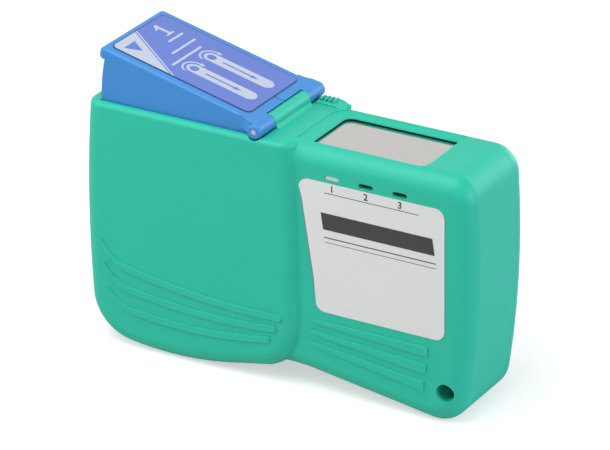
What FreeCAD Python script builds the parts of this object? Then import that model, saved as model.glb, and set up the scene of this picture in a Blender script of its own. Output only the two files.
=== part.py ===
import FreeCAD, Part
import math
import os
import re

import Sketcher
from FreeCAD import Placement, Rotation, Vector

# A pocket cassette that wipes optical connector ends on a cloth tape.
# X runs along its length, the labelled front faces -Y, and it stands on the two low points
# of its belly at z = 0. Pressing the lever opens the window's shutter and winds the tape on.

SIZES = {
    # Moulded case: heights, depths and walls
    "case_top": 77.6,
    "grip_half": 19.3,
    "grip_wall": 2.0,
    "grip_edge": 5.0,
    "block_half": 16.9,
    "block_wall": 1.6,
    "block_edge": 5.5,
    "inner_edge": 3.6,
    "deck": 1.6,
    "rim_edge": 1.6,
    "split_y": 10.2,
    "split_gap": 0.1,
    "root": 0.5,
    # Outline of the grip, seen from the front
    "grip_left": -62.8,
    "grip_bow_x": -64.3,
    "grip_bow_z": 44.0,
    "heel_x": -63.4,
    "heel_z": 16.0,
    "heel_radius": 15.4,
    "toe_x": -50.0,
    "toe_z": 1.0,
    "belly_radius": 102.0,
    "belly_x": -12.0,
    "belly_z": 2.8,
    "step_foot_x": -2.0,
    "step_foot_z": 4.8,
    "step_x": 8.6,
    "step_z": 20.0,
    "step_top_x": 6.0,
    # Outline of the block, seen from the front
    "block_left": -14.0,
    "waist_z": 6.1,
    "waist_left": 1.0,
    "waist_right": 10.5,
    "waist_drop": 0.25,
    "waist_radius": 60.0,
    "corner_x": 51.0,
    "corner_z": 0.08,
    "corner_radius": 9.2,
    "end_low_x": 61.3,
    "end_low_z": 7.9,
    "end_bow_x": 63.9,
    "end_bow_z": 46.0,
    "end_x": 63.0,
    "shoulder": 8.0,
    "shoulder_radius": 8.3,
    # Lever hinge
    "hinge_x": -6.0,
    "hinge_rise": 1.6,
    "barrel": 2.3,
    "barrel_gap": 0.35,
    "knuckle_half": 9.9,
    "knuckle_gap": 0.2,
    "knuckle_ramp": 3.8,
    "ramp_foot": 0.1,
    "pin_radius": 0.75,
    "pin_gap": 0.05,
    "pin_sink": 0.1,
    "ear_half": 19.0,
    "ear_round": 0.8,
    "notch_edge": 1.6,
    "press_angle": 13.5,
    # Lever moulding, measured from the hinge with the lever pressed level
    "lever_reach": 52.4,
    "lever_drop": 16.0,
    "lever_top": 2.0,
    "skirt_wall": 1.6,
    "side_gap": 0.4,
    "end_gap": 0.5,
    "lip_length": 2.5,
    "lip_height": 3.7,
    "lip_edge": 1.7,
    "flare": 4.2,
    "lever_edge": 0.8,
    "lever_label_length": 48.1,
    "lever_label_width": 28.9,
    "lever_label_start": 4.6,
    "label_corner": 2.0,
    "groove": 0.5,
    "groove_depth": 0.3,
    "label_sheet": 0.4,
    "label_sink": 0.2,
    "label_fit": 0.1,
    # Drive: tooth module, counts and play
    "tooth_module": 0.8,
    "tooth_slope": 20.0,
    "addendum": 0.75,
    "dedendum": 1.0,
    "play": 0.1,
    "pinion_teeth": 10,
    "gear_teeth": 53,
    "ring_teeth": 78,
    "sector_teeth": 104,
    "winder_teeth": 30,
    "sector_before": 7,
    "sector_shown": 11,
    "ring_before": 6,
    "ring_shown": 9,
    "ring_band": 3.4,
    "gusset": 0.6,
    "rack_before": 1,
    "rack_after": 3,
    "rack_depth": 0.9,
    "rack_root": 0.5,
    "gear_face": 1.4,
    "layer_gap": 0.2,
    "gear_post": 1.5,
    "gear_step": 1.2,
    "gear_stub": 1.2,
    "clip": 0.6,
    "clip_gap": 0.15,
    "press_gap": 0.03,
    "running_gap": 0.08,
    "gear_hole": 4.0,
    "gear_hole_count": 5,
    "gear_hole_place": 0.57,
    # Shutter, slotted plate and wiping bed under the window
    "window_lead": 14.5,
    "window_end": 16.8,
    "window_front": -12.4,
    "window_rear": 10.2,
    "window_corner": 2.5,
    "window_crease": 0.4,
    "tongue": 3.4,
    "tongue_lead": 1.0,
    "bevel": 4.2,
    "bevel_lip": 0.5,
    "bevel_rear": 2.4,
    "bevel_step": 0.35,
    "shutter_gap": 0.4,
    "shutter_thick": 1.2,
    "shutter_lap": 1.4,
    "channel_gap": 0.15,
    "channel_drop": 1.0,
    "plate_thick": 1.6,
    "plate_gap": 0.3,
    "wipe_slot": 3.0,
    "wipe_corner": 1.44,
    "wipe_hole": 3.0,
    "wipe_pitch": 8.6,
    "wipe_length": 22.0,
    "bed_lead": 5.2,
    "bed_tail": 9.66,
    "bed_front": -13.4,
    "bed_rear": 10.0,
    "bed_rail": 2.2,
    "bed_base": 4.9,
    "bed_foot": 3.0,
    "bed_gap": 1.0,
    "pad_thick": 1.2,
    "pad_inset": 0.5,
    "pad_margin": 0.3,
    "tape_thick": 0.3,
    "tape_gap": 0.25,
    "tape_front": -9.5,
    "tape_width": 16.0,
    "roller": 3.0,
    "roller_inset": 3.2,
    "roller_margin": 0.4,
    "roller_pin": 1.0,
    # Reels
    "winder_x": -30.0,
    "supply_x": 32.0,
    "supply_z": 31.0,
    "post": 2.5,
    "post_step": 1.6,
    "post_tip": 3.6,
    "post_gap": 0.1,
    "socket_wall": 1.8,
    "socket_gap": 0.3,
    "reel_core": 11.0,
    "core_wall": 1.5,
    "reel_tube": 1.6,
    "reel_web": 1.2,
    "reel_gap": 0.2,
    "flange": 0.8,
    "winder_flange": 24.0,
    "supply_flange": 22.0,
    "used_roll": 14.0,
    "fresh_roll": 19.0,
    "roll_gap": 0.05,
    "ratchet_teeth": 12,
    "ratchet_depth": 1.7,
    "ratchet_face": 1.9,
    "ratchet_slope": 0.97,
    "pawl": 1.0,
    "pawl_gap": 0.7,
    "pawl_tip_gap": 0.35,
    "pawl_play": 0.2,
    # Leaf spring under the lever, on a shelf of the front case
    "shelf_left": -52.0,
    "shelf_right": -40.0,
    "shelf_drop": 20.6,
    "shelf_thick": 2.0,
    "shelf_rear": 5.0,
    "leaf": 0.4,
    "leaf_half": 3.0,
    "leaf_foot": 9.0,
    "leaf_bend": 4.0,
    "leaf_rise": 27.5,
    "leaf_reach": 21.0,
    "leaf_ease": 1.05,
    # Front of the block: label plate, type slots and strap hole
    "plate_top": 67.9,
    "plate_bottom": 26.9,
    "plate_left_top": 7.2,
    "plate_left_low": 13.9,
    "plate_right": 55.6,
    "plate_corner": 3.0,
    "plate_lean": 0.6,
    "slot_x": 18.5,
    "slot_drop": 8.3,
    "slot_pitch": 11.0,
    "slot_length": 4.7,
    "slot_height": 1.5,
    "slot_corner": 0.675,
    "tab_margin": 0.6,
    "tab_gap": 0.1,
    "strap_x": 55.8,
    "strap_z": 10.6,
    "strap_hole": 2.8,
    "strap_wall": 1.8,
    # Finger ribs: each set is a first rib and the steps to the next
    "rib_height": 0.45,
    "rib_count": 3,
    "bar_left": 11.9,
    "bar_right": 50.2,
    "bar_right_step": 0.6,
    "bar_left_z": 23.3,
    "bar_left_drop": 3.65,
    "bar_right_z": 22.55,
    "bar_right_drop": 5.6,
    "bar_thin": 0.9,
    "bar_thick": 2.85,
    "swoosh_tip_x": -58.0,
    "swoosh_tip_z": 34.5,
    "swoosh_tip_step": 1.1,
    "swoosh_tip_drop": 7.8,
    "swoosh_bend_x": -49.0,
    "swoosh_bend_z": 26.3,
    "swoosh_bend_step": 1.5,
    "swoosh_bend_drop": 6.85,
    "swoosh_end_x": 2.6,
    "swoosh_end_z": 22.6,
    "swoosh_end_step": 2.0,
    "swoosh_end_drop": 3.9,
    "swoosh_radius": 215.0,
    "swoosh_radius_drop": 32.0,
    "swoosh_hook": 11.0,
    "swoosh_thick": 1.9,
    "swoosh_round": 0.97,
    # Ribbed thumb pad of the rear cover
    "thumb_left": -2.6,
    "thumb_right": 6.4,
    "thumb_slope": 3.4,
    "thumb_front": 11.6,
    "thumb_rear": 16.2,
    "thumb_height": 0.8,
    "thumb_round": 0.5,
    "thumb_rib": 0.7,
    "thumb_rib_count": 4,
    "thumb_rib_start": 0.5,
    "thumb_rib_inset": 0.8,
    "thumb_rib_height": 0.8,
}

doc = FreeCAD.newDocument("cleaning_cassette")
sheet = doc.addObject("Spreadsheet::Sheet", "Sizes")
for row, (alias, number) in enumerate(SIZES.items(), start=1):
    sheet.set(f"A{row}", alias)
    sheet.set(f"B{row}", str(number))
    sheet.setAlias(f"B{row}", alias)
doc.recompute()


def bound(expression):
    """The expression with the sheet's name put before each size in it."""

    def named(word):
        return f"Sizes.{word[0]}" if word[0] in SIZES else word[0]

    return re.sub(r"[a-z]\w*", named, str(expression))


def value(expression):
    """What an expression in the sheet's sizes comes to, as a plain number."""
    return float(sheet.evalExpression(bound(expression)))


# Places that several pieces share, as expressions in the sizes
HINGE_Z = "(case_top + hinge_rise)"
SHELF_Z = "(case_top - shelf_drop)"
SLOT_Z = "(case_top - slot_drop)"
SKIRT_FRONT = "(-grip_half + grip_wall + side_gap)"
SKIRT_REAR = f"({SKIRT_FRONT} + skirt_wall)"
GEAR_FRONT = f"(max({SKIRT_REAR}; block_wall - block_half) + layer_gap)"
GEAR_REAR = f"({GEAR_FRONT} + gear_face)"
SHUTTER_TOP = "(case_top - deck - shutter_gap)"
SHUTTER_BOTTOM = f"({SHUTTER_TOP} - shutter_thick)"
PLATE_TOP = f"({SHUTTER_BOTTOM} - plate_gap)"
PLATE_BOTTOM = f"({PLATE_TOP} - plate_thick)"
TAPE_TOP = f"({PLATE_BOTTOM} - plate_gap)"
PAD_TOP = f"({TAPE_TOP} - tape_thick)"
BED_TOP = f"({PAD_TOP} - pad_thick)"
BED_BOTTOM = f"({BED_TOP} - bed_base)"
TAPE_REAR = "(tape_front + tape_width)"
ADDENDUM = "(addendum * tooth_module)"
DEDENDUM = "(dedendum * tooth_module)"
SHUTTER_FRONT = f"({GEAR_REAR} - rack_root)"
RACK_TOP = f"({SHUTTER_BOTTOM} + rack_root)"
RACK_PITCH = f"({SHUTTER_BOTTOM} - rack_depth * tooth_module)"
PINION_REACH = "((ring_teeth - pinion_teeth) * tooth_module / 2)"
GEAR_PITCH = "(gear_teeth * tooth_module / 2)"
GEAR_Z = f"({RACK_PITCH} - {GEAR_PITCH})"
GEAR_X = f"(hinge_x - sqrt({PINION_REACH}^2 - ({HINGE_Z} - {GEAR_Z})^2))"
WINDER_REACH = "((sector_teeth + winder_teeth) * tooth_module / 2)"
WINDER_Z = f"({HINGE_Z} - sqrt({WINDER_REACH}^2 - (hinge_x - winder_x)^2))"
WINDOW_LEFT = "(hinge_x + window_lead)"
WINDOW_RIGHT = "(end_x - window_end)"
BED_LEFT = f"({WINDOW_LEFT} - bed_lead)"
BED_RIGHT = f"({WINDOW_RIGHT} + bed_tail)"
ROLLER_Z = f"({PAD_TOP} - roller - tape_gap)"
ROLLER_LEFT = f"({BED_LEFT} + roller_inset)"
ROLLER_RIGHT = f"({BED_RIGHT} - roller_inset)"
STROKE = f"(press_angle * pi / 180 * ring_teeth / pinion_teeth * {GEAR_PITCH})"


def bind(item, expressions):
    """Ties an object's properties to expressions in the sizes."""
    for path, expression in expressions.items():
        item.setExpression(path, bound(expression))
    return item


def origin_feature(body, role):
    """One of a body's own planes or axes."""
    return next(feature for feature in body.Origin.OriginFeatures if feature.Role == role)


def arc_between(start, end, radius):
    """The short arc from start to end: it turns left for a positive radius, right for a negative one."""
    chord = end - start
    side = Vector(-chord.y, chord.x, 0).normalize() * math.copysign(1, radius)
    centre = (start + end) / 2 + side * math.sqrt(radius**2 - (chord.Length / 2) ** 2)
    half = math.asin(chord.Length / 2 / abs(radius))
    circle = Part.Circle(centre, Vector(0, 0, 1), abs(radius))
    circle.AngleXU = math.atan2(side.y, side.x)
    return Part.ArcOfCircle(circle, math.pi - half, math.pi + half)


def outline(body, points, role, level):
    """A closed sketch through points (across, up), each with the radius of an arc that leaves it."""
    sketch = body.newObject("Sketcher::SketchObject", f"{body.Name}_outline")
    sketch.AttachmentSupport = [(origin_feature(body, role), "")]
    sketch.MapMode = "FlatFace"
    bind(sketch, {"AttachmentOffset.Base.z": level})
    corners = [Vector(value(point[0]), value(point[1]), 0) for point in points]
    ends = []
    for number, point in enumerate(points):
        start = corners[number]
        end = corners[(number + 1) % len(points)]
        if len(point) == 2:
            sketch.addGeometry(Part.LineSegment(start, end), False)
            ends.append((1, 2))
        else:
            radius = value(point[2])
            sketch.addGeometry(arc_between(start, end, radius), False)
            ends.append((1, 2) if radius > 0 else (2, 1))
    for number, point in enumerate(points):
        following = (number + 1) % len(points)
        begin, finish = ends[number]
        start = ends[following][0]
        sketch.addConstraint(Sketcher.Constraint("Coincident", number, finish, following, start))
        across = Sketcher.Constraint("DistanceX", -1, 1, number, begin, corners[number].x)
        bind(sketch, {f"Constraints[{sketch.addConstraint(across)}]": point[0]})
        up = Sketcher.Constraint("DistanceY", -1, 1, number, begin, corners[number].y)
        bind(sketch, {f"Constraints[{sketch.addConstraint(up)}]": point[1]})
        if len(point) == 3:
            bend = Sketcher.Constraint("Radius", number, abs(value(point[2])))
            bind(sketch, {f"Constraints[{sketch.addConstraint(bend)}]": f"abs({point[2]})"})
    return sketch


def padded(label, points, role, level, length):
    """A body made by padding one outline."""
    body = doc.addObject("PartDesign::Body", label)
    doc.recompute()
    pad = body.newObject("PartDesign::Pad", f"{label}_pad")
    pad.Profile = outline(body, points, role, level)
    bind(pad, {"Length": length})
    body.Tip = pad
    return body


def plate(label, points, front, rear):
    """A body with one outline in X and Z, from its front to its rear."""
    return padded(label, points, "XZ_Plane", f"-({rear})", f"{rear} - ({front})")


def slab(label, points, bottom, top):
    """A body with one outline in X and Y, from its bottom to its top."""
    return padded(label, points, "XY_Plane", bottom, f"{top} - ({bottom})")


def turned(label, points, x, z):
    """A body turned about an axis along Y through x and z, from a half section in radius and Y."""
    body = doc.addObject("PartDesign::Body", label)
    doc.recompute()
    turn = body.newObject("PartDesign::Revolution", f"{label}_turn")
    turn.Profile = outline(body, points, "XY_Plane", "0")
    turn.ReferenceAxis = (origin_feature(body, "Y_Axis"), [""])
    turn.Angle = 360
    body.Tip = turn
    return bind(body, {"Placement.Base.x": x, "Placement.Base.z": z})


def rounded(left, right, low, high, radius):
    """Points of a rectangle with round corners."""
    return [
        (f"{left} + {radius}", low),
        (f"{right} - {radius}", low, radius),
        (right, f"{low} + {radius}"),
        (right, f"{high} - {radius}", radius),
        (f"{right} - {radius}", high),
        (f"{left} + {radius}", high, radius),
        (left, f"{high} - {radius}"),
        (left, f"{low} + {radius}", radius),
    ]


def square(left, right, low, high):
    """Points of a plain rectangle."""
    return [(left, low), (right, low), (right, high), (left, high)]


def drum(label, x, z, radius, front, rear):
    """A cylinder along Y."""
    item = doc.addObject("Part::Cylinder", label)
    item.Placement = Placement(Vector(), Rotation(Vector(1, 0, 0), -90))
    places = {"Placement.Base.x": x, "Placement.Base.y": front, "Placement.Base.z": z}
    return bind(item, {"Radius": radius, "Height": f"{rear} - ({front})", **places})


def brick(label, left, right, front, rear, bottom, top):
    """A box between six planes."""
    item = doc.addObject("Part::Box", label)
    places = {"Placement.Base.x": left, "Placement.Base.y": front, "Placement.Base.z": bottom}
    spans = {
        "Length": f"{right} - ({left})",
        "Width": f"{rear} - ({front})",
        "Height": f"{top} - ({bottom})",
    }
    return bind(item, {**spans, **places})


def joined(label, *pieces):
    """One solid of several that overlap."""
    item = doc.addObject("Part::MultiFuse", label)
    item.Shapes = list(pieces)
    item.Refine = True
    return item


def without(label, base, *tools):
    """What is left of a solid when tools are cut out of it."""
    item = doc.addObject("Part::Cut", label)
    item.Base = base
    item.Tool = tools[0] if len(tools) == 1 else joined(f"{label}_tools", *tools)
    item.Refine = True
    return item


def common(label, base, tool):
    """What two solids share."""
    item = doc.addObject("Part::Common", label)
    item.Base = base
    item.Tool = tool
    item.Refine = True
    return item


def formed(label, shape):
    """A shape worked out from the sizes by a formula, such as teeth."""
    item = doc.addObject("Part::Feature", label)
    item.Shape = shape
    return item


def round_edges(body, radius, chosen):
    """Rounds the edges of a body that a test chooses."""
    doc.recompute()
    tip = body.Tip
    names = [f"Edge{number}" for number, edge in enumerate(tip.Shape.Edges, start=1) if chosen(edge)]
    fillet = body.newObject("PartDesign::Fillet", f"{tip.Name}_round")
    fillet.Base = (tip, names)
    bind(fillet, {"Radius": radius})
    body.Tip = fillet
    return body


def at_depth(half):
    """A test for edges in the two planes at y = -half and y = half."""
    depth = value(half)
    return lambda edge: all(abs(abs(corner.Y) - depth) < 1e-4 for corner in edge.Vertexes)


def along_y(edge):
    """True for a straight edge along Y."""
    box = edge.BoundBox
    return box.YLength > 0.01 and box.XLength < 1e-4 and box.ZLength < 1e-4


def run_of_teeth(count, first, shown, rise, fall, slack):
    """Points of a run of involute teeth about the origin, in turning order.

    Count teeth fill the circle. The run shows some of them, the first centred on the angle first.
    """
    pitch = count * value("tooth_module") / 2
    base = pitch * math.cos(math.radians(value("tooth_slope")))

    def involute(radius):
        slope = math.acos(min(1.0, base / radius))
        return math.tan(slope) - slope

    steps = 2
    radii = [pitch - fall + (rise + fall) * step / steps for step in range(steps + 1)]
    wide = math.pi / (2 * count) - slack / (2 * pitch) + involute(pitch)
    points = []
    for number in range(shown):
        centre = math.radians(first + number * 360 / count)
        halves = [(radius, wide - involute(radius)) for radius in radii]
        flanks = [(radius, centre - half) for radius, half in halves]
        flanks += [(radius, centre + half) for radius, half in reversed(halves)]
        for radius, angle in flanks:
            points.append(Vector(radius * math.cos(angle), 0, radius * math.sin(angle)))
    return points


def toothed_wheel(label, count, first, x, z, front, rear):
    """A wheel with teeth all round, one of them centred on the angle first."""
    points = run_of_teeth(count, first, count, value(ADDENDUM), value(DEDENDUM), value("play"))
    face = Part.Face(Part.makePolygon(points + points[:1]))
    shape = face.extrude(Vector(0, value(rear) - value(front), 0))
    shape.translate(Vector(value(x), value(front), value(z)))
    return formed(label, shape)


def bearing(rise_from, rise_to):
    """Direction in the front view from one place to another, in degrees."""
    return math.degrees(math.atan2(rise_to[1] - rise_from[1], rise_to[0] - rise_from[0]))


HINGE = (value("hinge_x"), value(HINGE_Z))
PINION = (value(GEAR_X), value(GEAR_Z))
WINDER = (value("winder_x"), value(WINDER_Z))
SUPPLY = (value("supply_x"), value("supply_z"))


def upright_arc(bow_x, bow_z, x, z):
    """Radius of the arc from an upright place on a bowed side to another place on it."""
    return f"((({x}) - ({bow_x}))^2 + (({z}) - ({bow_z}))^2) / (2 * abs(({x}) - ({bow_x})))"


# Outer form of the case: a deep grip and a shallower block, hollow, with a step between them
def grip_outline():
    return [
        ("step_top_x", "case_top"),
        ("grip_left", "case_top", upright_arc("grip_bow_x", "grip_bow_z", "grip_left", "case_top")),
        ("grip_bow_x", "grip_bow_z", upright_arc("grip_bow_x", "grip_bow_z", "heel_x", "heel_z")),
        ("heel_x", "heel_z", "heel_radius"),
        ("toe_x", "toe_z", "belly_radius"),
        ("belly_x", "belly_z"),
        ("step_foot_x", "step_foot_z", upright_arc("step_x", "step_z", "step_foot_x", "step_foot_z")),
        ("step_x", "step_z", upright_arc("step_x", "step_z", "step_top_x", "case_top")),
    ]


def block_outline():
    shoulder_z = "case_top - shoulder"
    return [
        ("end_x - shoulder", "case_top"),
        ("block_left", "case_top"),
        ("block_left", "waist_z"),
        ("waist_left", "waist_z", "-waist_radius"),
        ("waist_right", "waist_z - waist_drop"),
        ("corner_x", "corner_z", "corner_radius"),
        ("end_low_x", "end_low_z", upright_arc("end_bow_x", "end_bow_z", "end_low_x", "end_low_z")),
        ("end_bow_x", "end_bow_z", upright_arc("end_bow_x", "end_bow_z", "end_x", shoulder_z)),
        ("end_x", shoulder_z, "shoulder_radius"),
    ]


def grip_cavity():
    """Inside of the grip, one wall in from its outline, with straight sides."""
    return [
        ("step_top_x - grip_wall", "case_top - deck"),
        ("grip_left + grip_wall", "case_top - deck"),
        ("grip_bow_x + grip_wall", "grip_bow_z"),
        ("heel_x + grip_wall", "heel_z"),
        ("toe_x", "toe_z + grip_wall"),
        ("belly_x", "belly_z + grip_wall"),
        ("step_foot_x", "step_foot_z + grip_wall"),
        ("step_x - grip_wall", "step_z"),
    ]


def block_cavity():
    """Inside of the block, one wall in from its outline, with straight sides."""
    return [
        ("end_x - shoulder", "case_top - deck"),
        ("block_left", "case_top - deck"),
        ("block_left", "waist_z + block_wall"),
        ("waist_right", "waist_z + block_wall"),
        ("corner_x", "corner_z + block_wall"),
        ("end_low_x - block_wall", "end_low_z"),
        ("end_x - block_wall", "case_top - shoulder"),
    ]


def in_plane(axis, place):
    """A test for edges that lie in a plane across an axis."""
    return lambda edge: all(abs(getattr(corner, axis) - place) < 1e-4 for corner in edge.Vertexes)


def all_but_ends(half, *ends):
    """A test for outline edges in the two side planes, apart from those that lie in an end plane."""
    on_side = at_depth(half)
    in_end = [in_plane(axis, place) for axis, place in ends]
    return lambda edge: on_side(edge) and not any(test(edge) for test in in_end)


TOP = ("Z", value("case_top"))
LEFT = ("X", value("block_left"))
outer_grip = plate("outer_grip", grip_outline(), "-grip_half", "grip_half")
round_edges(outer_grip, "grip_edge", all_but_ends("grip_half", TOP))
round_edges(outer_grip, "rim_edge", in_plane(*TOP))
outer_block = plate("outer_block", block_outline(), "-block_half", "block_half")
round_edges(outer_block, "block_edge", all_but_ends("block_half", LEFT))
GRIP_INNER = "(grip_half - grip_wall)"
BLOCK_INNER = "(block_half - block_wall)"
inner_grip = plate("inner_grip", grip_cavity(), f"-{GRIP_INNER}", GRIP_INNER)
round_edges(inner_grip, "inner_edge", all_but_ends(GRIP_INNER, ("Z", value("case_top - deck"))))
inner_block = plate("inner_block", block_cavity(), f"-{BLOCK_INNER}", BLOCK_INNER)
round_edges(inner_block, "inner_edge", all_but_ends(BLOCK_INNER, LEFT))


# Openings of the case: the lever's well with its arm slot, the hinge scallops and the window
LEVER_LEFT = "(hinge_x - lever_reach - end_gap)"
WELL_BOTTOM = "case_top - 2 * deck"
WELL_TOP = "case_top + deck"
BARREL_LEFT = "hinge_x - barrel - barrel_gap"
SLOT_REAR = f"{SKIRT_REAR} + side_gap"
well = brick("well", LEVER_LEFT, BARREL_LEFT, f"-{GRIP_INNER}", GRIP_INNER, WELL_BOTTOM, WELL_TOP)
front_ear_well = brick(
    "front_ear_well",
    "hinge_x - 2 * barrel",
    "hinge_x",
    f"-{GRIP_INNER}",
    "-knuckle_half",
    WELL_BOTTOM,
    WELL_TOP,
)
rear_ear_well = brick(
    "rear_ear_well", "hinge_x - 2 * barrel", "hinge_x", "knuckle_half", GRIP_INNER, WELL_BOTTOM, WELL_TOP
)
arm_slot = brick(
    "arm_slot",
    "hinge_x - 2 * barrel",
    "hinge_x + barrel",
    f"-{GRIP_INNER}",
    SLOT_REAR,
    WELL_BOTTOM,
    WELL_TOP,
)
SCALLOP = "barrel + barrel_gap"
front_scallop = drum("front_scallop", "hinge_x", HINGE_Z, SCALLOP, "-2 * grip_half", "-knuckle_half")
rear_scallop = drum("rear_scallop", "hinge_x", HINGE_Z, SCALLOP, "knuckle_half", "2 * grip_half")


def window_outline(side, back):
    """Outline of the window, with its left side and its rear moved out by two spreads."""
    left = f"({WINDOW_LEFT} - {side})"
    rear = f"(window_rear + {back})"
    corner = f"(window_corner + {back})"
    return [
        (f"{left} + window_crease", "window_front"),
        (f"{WINDOW_RIGHT} - window_corner", "window_front", "window_corner"),
        (WINDOW_RIGHT, "window_front + window_corner"),
        (WINDOW_RIGHT, f"{rear} - window_crease", "window_crease"),
        (f"{WINDOW_RIGHT} - window_crease", rear),
        (f"{left} + {corner}", rear, corner),
        (left, f"{rear} - {corner}"),
        (left, "window_front + window_crease", "window_crease"),
    ]


window = slab("window", window_outline("0", "0"), WELL_BOTTOM, WELL_TOP)
BEVEL_FOOT = "(case_top - deck + bevel_lip)"
BEVEL_RIM = "(case_top - bevel_step)"
window_bevel = doc.addObject("PartDesign::Body", "window_bevel")
doc.recompute()
bevel_loft = window_bevel.newObject("PartDesign::AdditiveLoft", "window_bevel_loft")
bevel_loft.Profile = outline(window_bevel, window_outline("0", "0"), "XY_Plane", BEVEL_FOOT)
bevel_wide = outline(window_bevel, window_outline("bevel", "bevel_rear"), "XY_Plane", BEVEL_RIM)
bevel_loft.Sections = [bevel_wide]
bevel_loft.Ruled = True
window_bevel.Tip = bevel_loft
window_step = slab("window_step", window_outline("bevel", "bevel_rear"), BEVEL_RIM, WELL_TOP)
TONGUE_LEFT = f"{WINDOW_LEFT} - bevel - tongue_lead"
TONGUE_RIGHT = f"{WINDOW_LEFT} + window_corner"
TONGUE_FRONT = "window_rear - tongue"
tongue = brick(
    "tongue", TONGUE_LEFT, TONGUE_RIGHT, TONGUE_FRONT, "split_y + root", "case_top - deck", WELL_TOP
)
tongue_seat = brick(
    "tongue_seat",
    f"{TONGUE_LEFT} - split_gap",
    f"{TONGUE_RIGHT} + split_gap",
    f"{TONGUE_FRONT} - split_gap",
    "split_y + root",
    WELL_BOTTOM,
    WELL_TOP,
)
type_slots = [
    plate(
        f"type_slot_{number + 1}",
        rounded(
            f"slot_x + {number} * slot_pitch - slot_length / 2",
            f"slot_x + {number} * slot_pitch + slot_length / 2",
            f"{SLOT_Z} - slot_height / 2",
            f"{SLOT_Z} + slot_height / 2",
            "slot_corner",
        ),
        "-2 * block_half",
        f"-{BLOCK_INNER} + block_wall",
    )
    for number in range(3)
]
LABEL_POINTS = [
    ("plate_left_low", "plate_bottom"),
    ("plate_right", "plate_bottom"),
    ("plate_right - plate_lean", "plate_top"),
    ("plate_left_top", "plate_top"),
]
LABEL_BACK = "-block_half + label_sheet - label_sink"
label_recess = plate("label_recess", LABEL_POINTS, "-2 * block_half", LABEL_BACK)
round_edges(label_recess, "plate_corner", along_y)

# Raised forms outside: the case's hinge knuckle and the finger ribs of grip and block
RAMP_RADIUS = "((knuckle_ramp - barrel)^2 + (hinge_rise + ramp_foot)^2) / (2 * (hinge_rise + ramp_foot))"
knuckle = plate(
    "knuckle",
    [
        ("hinge_x - barrel", "case_top - deck"),
        ("hinge_x + knuckle_ramp", "case_top - deck"),
        ("hinge_x + knuckle_ramp", "case_top - ramp_foot", f"-{RAMP_RADIUS}"),
        ("hinge_x + barrel", HINGE_Z, "barrel"),
        ("hinge_x", f"{HINGE_Z} + barrel", "barrel"),
        ("hinge_x - barrel", HINGE_Z),
    ],
    "-knuckle_half",
    "knuckle_half",
)


def bar_points(number):
    """Outline of one of the block's bars, which widen to the right."""
    left_z = f"(bar_left_z - {number} * bar_left_drop)"
    right_z = f"(bar_right_z - {number} * bar_right_drop)"
    right = f"bar_right - {number} * bar_right_step"
    return [
        ("bar_left", f"{left_z} - bar_thin / 2"),
        (right, f"{right_z} - bar_thick / 2"),
        (right, f"{right_z} + bar_thick / 2"),
        ("bar_left", f"{left_z} + bar_thin / 2"),
    ]


def swoosh_points(number):
    """Outline of one of the grip's swept ribs: a hooked tip at the left and a round end at the right."""
    tip = (f"swoosh_tip_x + {number} * swoosh_tip_step", f"swoosh_tip_z - {number} * swoosh_tip_drop")
    bend_x = f"(swoosh_bend_x + {number} * swoosh_bend_step)"
    bend_z = f"(swoosh_bend_z - {number} * swoosh_bend_drop)"
    end_x = f"(swoosh_end_x - {number} * swoosh_end_step)"
    end_z = f"(swoosh_end_z - {number} * swoosh_end_drop)"
    sweep = f"(swoosh_radius - {number} * swoosh_radius_drop)"
    half = "swoosh_thick / 2"
    return [
        (*tip, "swoosh_hook"),
        (bend_x, f"{bend_z} - {half}", sweep),
        (end_x, f"{end_z} - {half}", "swoosh_round"),
        (end_x, f"{end_z} + {half}", f"-{sweep}"),
        (bend_x, f"{bend_z} + {half}", "-swoosh_hook"),
    ]


RIBS = range(int(value("rib_count")))
bars = [
    plate(f"bar_{number + 1}", bar_points(number), "-block_half - rib_height", f"-{BLOCK_INNER}")
    for number in RIBS
]
swooshes = [
    plate(f"swoosh_{number + 1}", swoosh_points(number), "-grip_half - rib_height", f"-{GRIP_INNER}")
    for number in RIBS
]

# Ribbed thumb pad on the rear cover's top, for pushing it off
THUMB_TOP = "(case_top + thumb_height)"
thumb_pad = plate(
    "thumb_pad",
    [
        ("thumb_left", "case_top - deck"),
        ("thumb_right", "case_top - deck"),
        ("thumb_right", "case_top"),
        ("thumb_slope", THUMB_TOP),
        ("thumb_left", THUMB_TOP),
    ],
    "thumb_front",
    "thumb_rear",
)
PAD_MIDDLE = value("(thumb_front + thumb_rear) / 2")
PAD_HALF = value("(thumb_rear - thumb_front) / 2")
round_edges(
    thumb_pad,
    "thumb_round",
    lambda edge: all(abs(abs(corner.Y - PAD_MIDDLE) - PAD_HALF) < 1e-4 for corner in edge.Vertexes)
    and edge.BoundBox.ZMax > value(THUMB_TOP) - 1e-4
    and edge.BoundBox.XLength > 1e-4,
)
thumb_ribs = [
    brick(
        f"thumb_rib_{number + 1}",
        f"thumb_left + {number} * 2 * thumb_rib + thumb_rib_start",
        f"thumb_left + ({number} * 2 + 1) * thumb_rib + thumb_rib_start",
        "thumb_front + thumb_rib_inset",
        "thumb_rear - thumb_rib_inset",
        "case_top",
        f"{THUMB_TOP} + thumb_rib_height",
    )
    for number in range(int(value("thumb_rib_count")))
]

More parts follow.
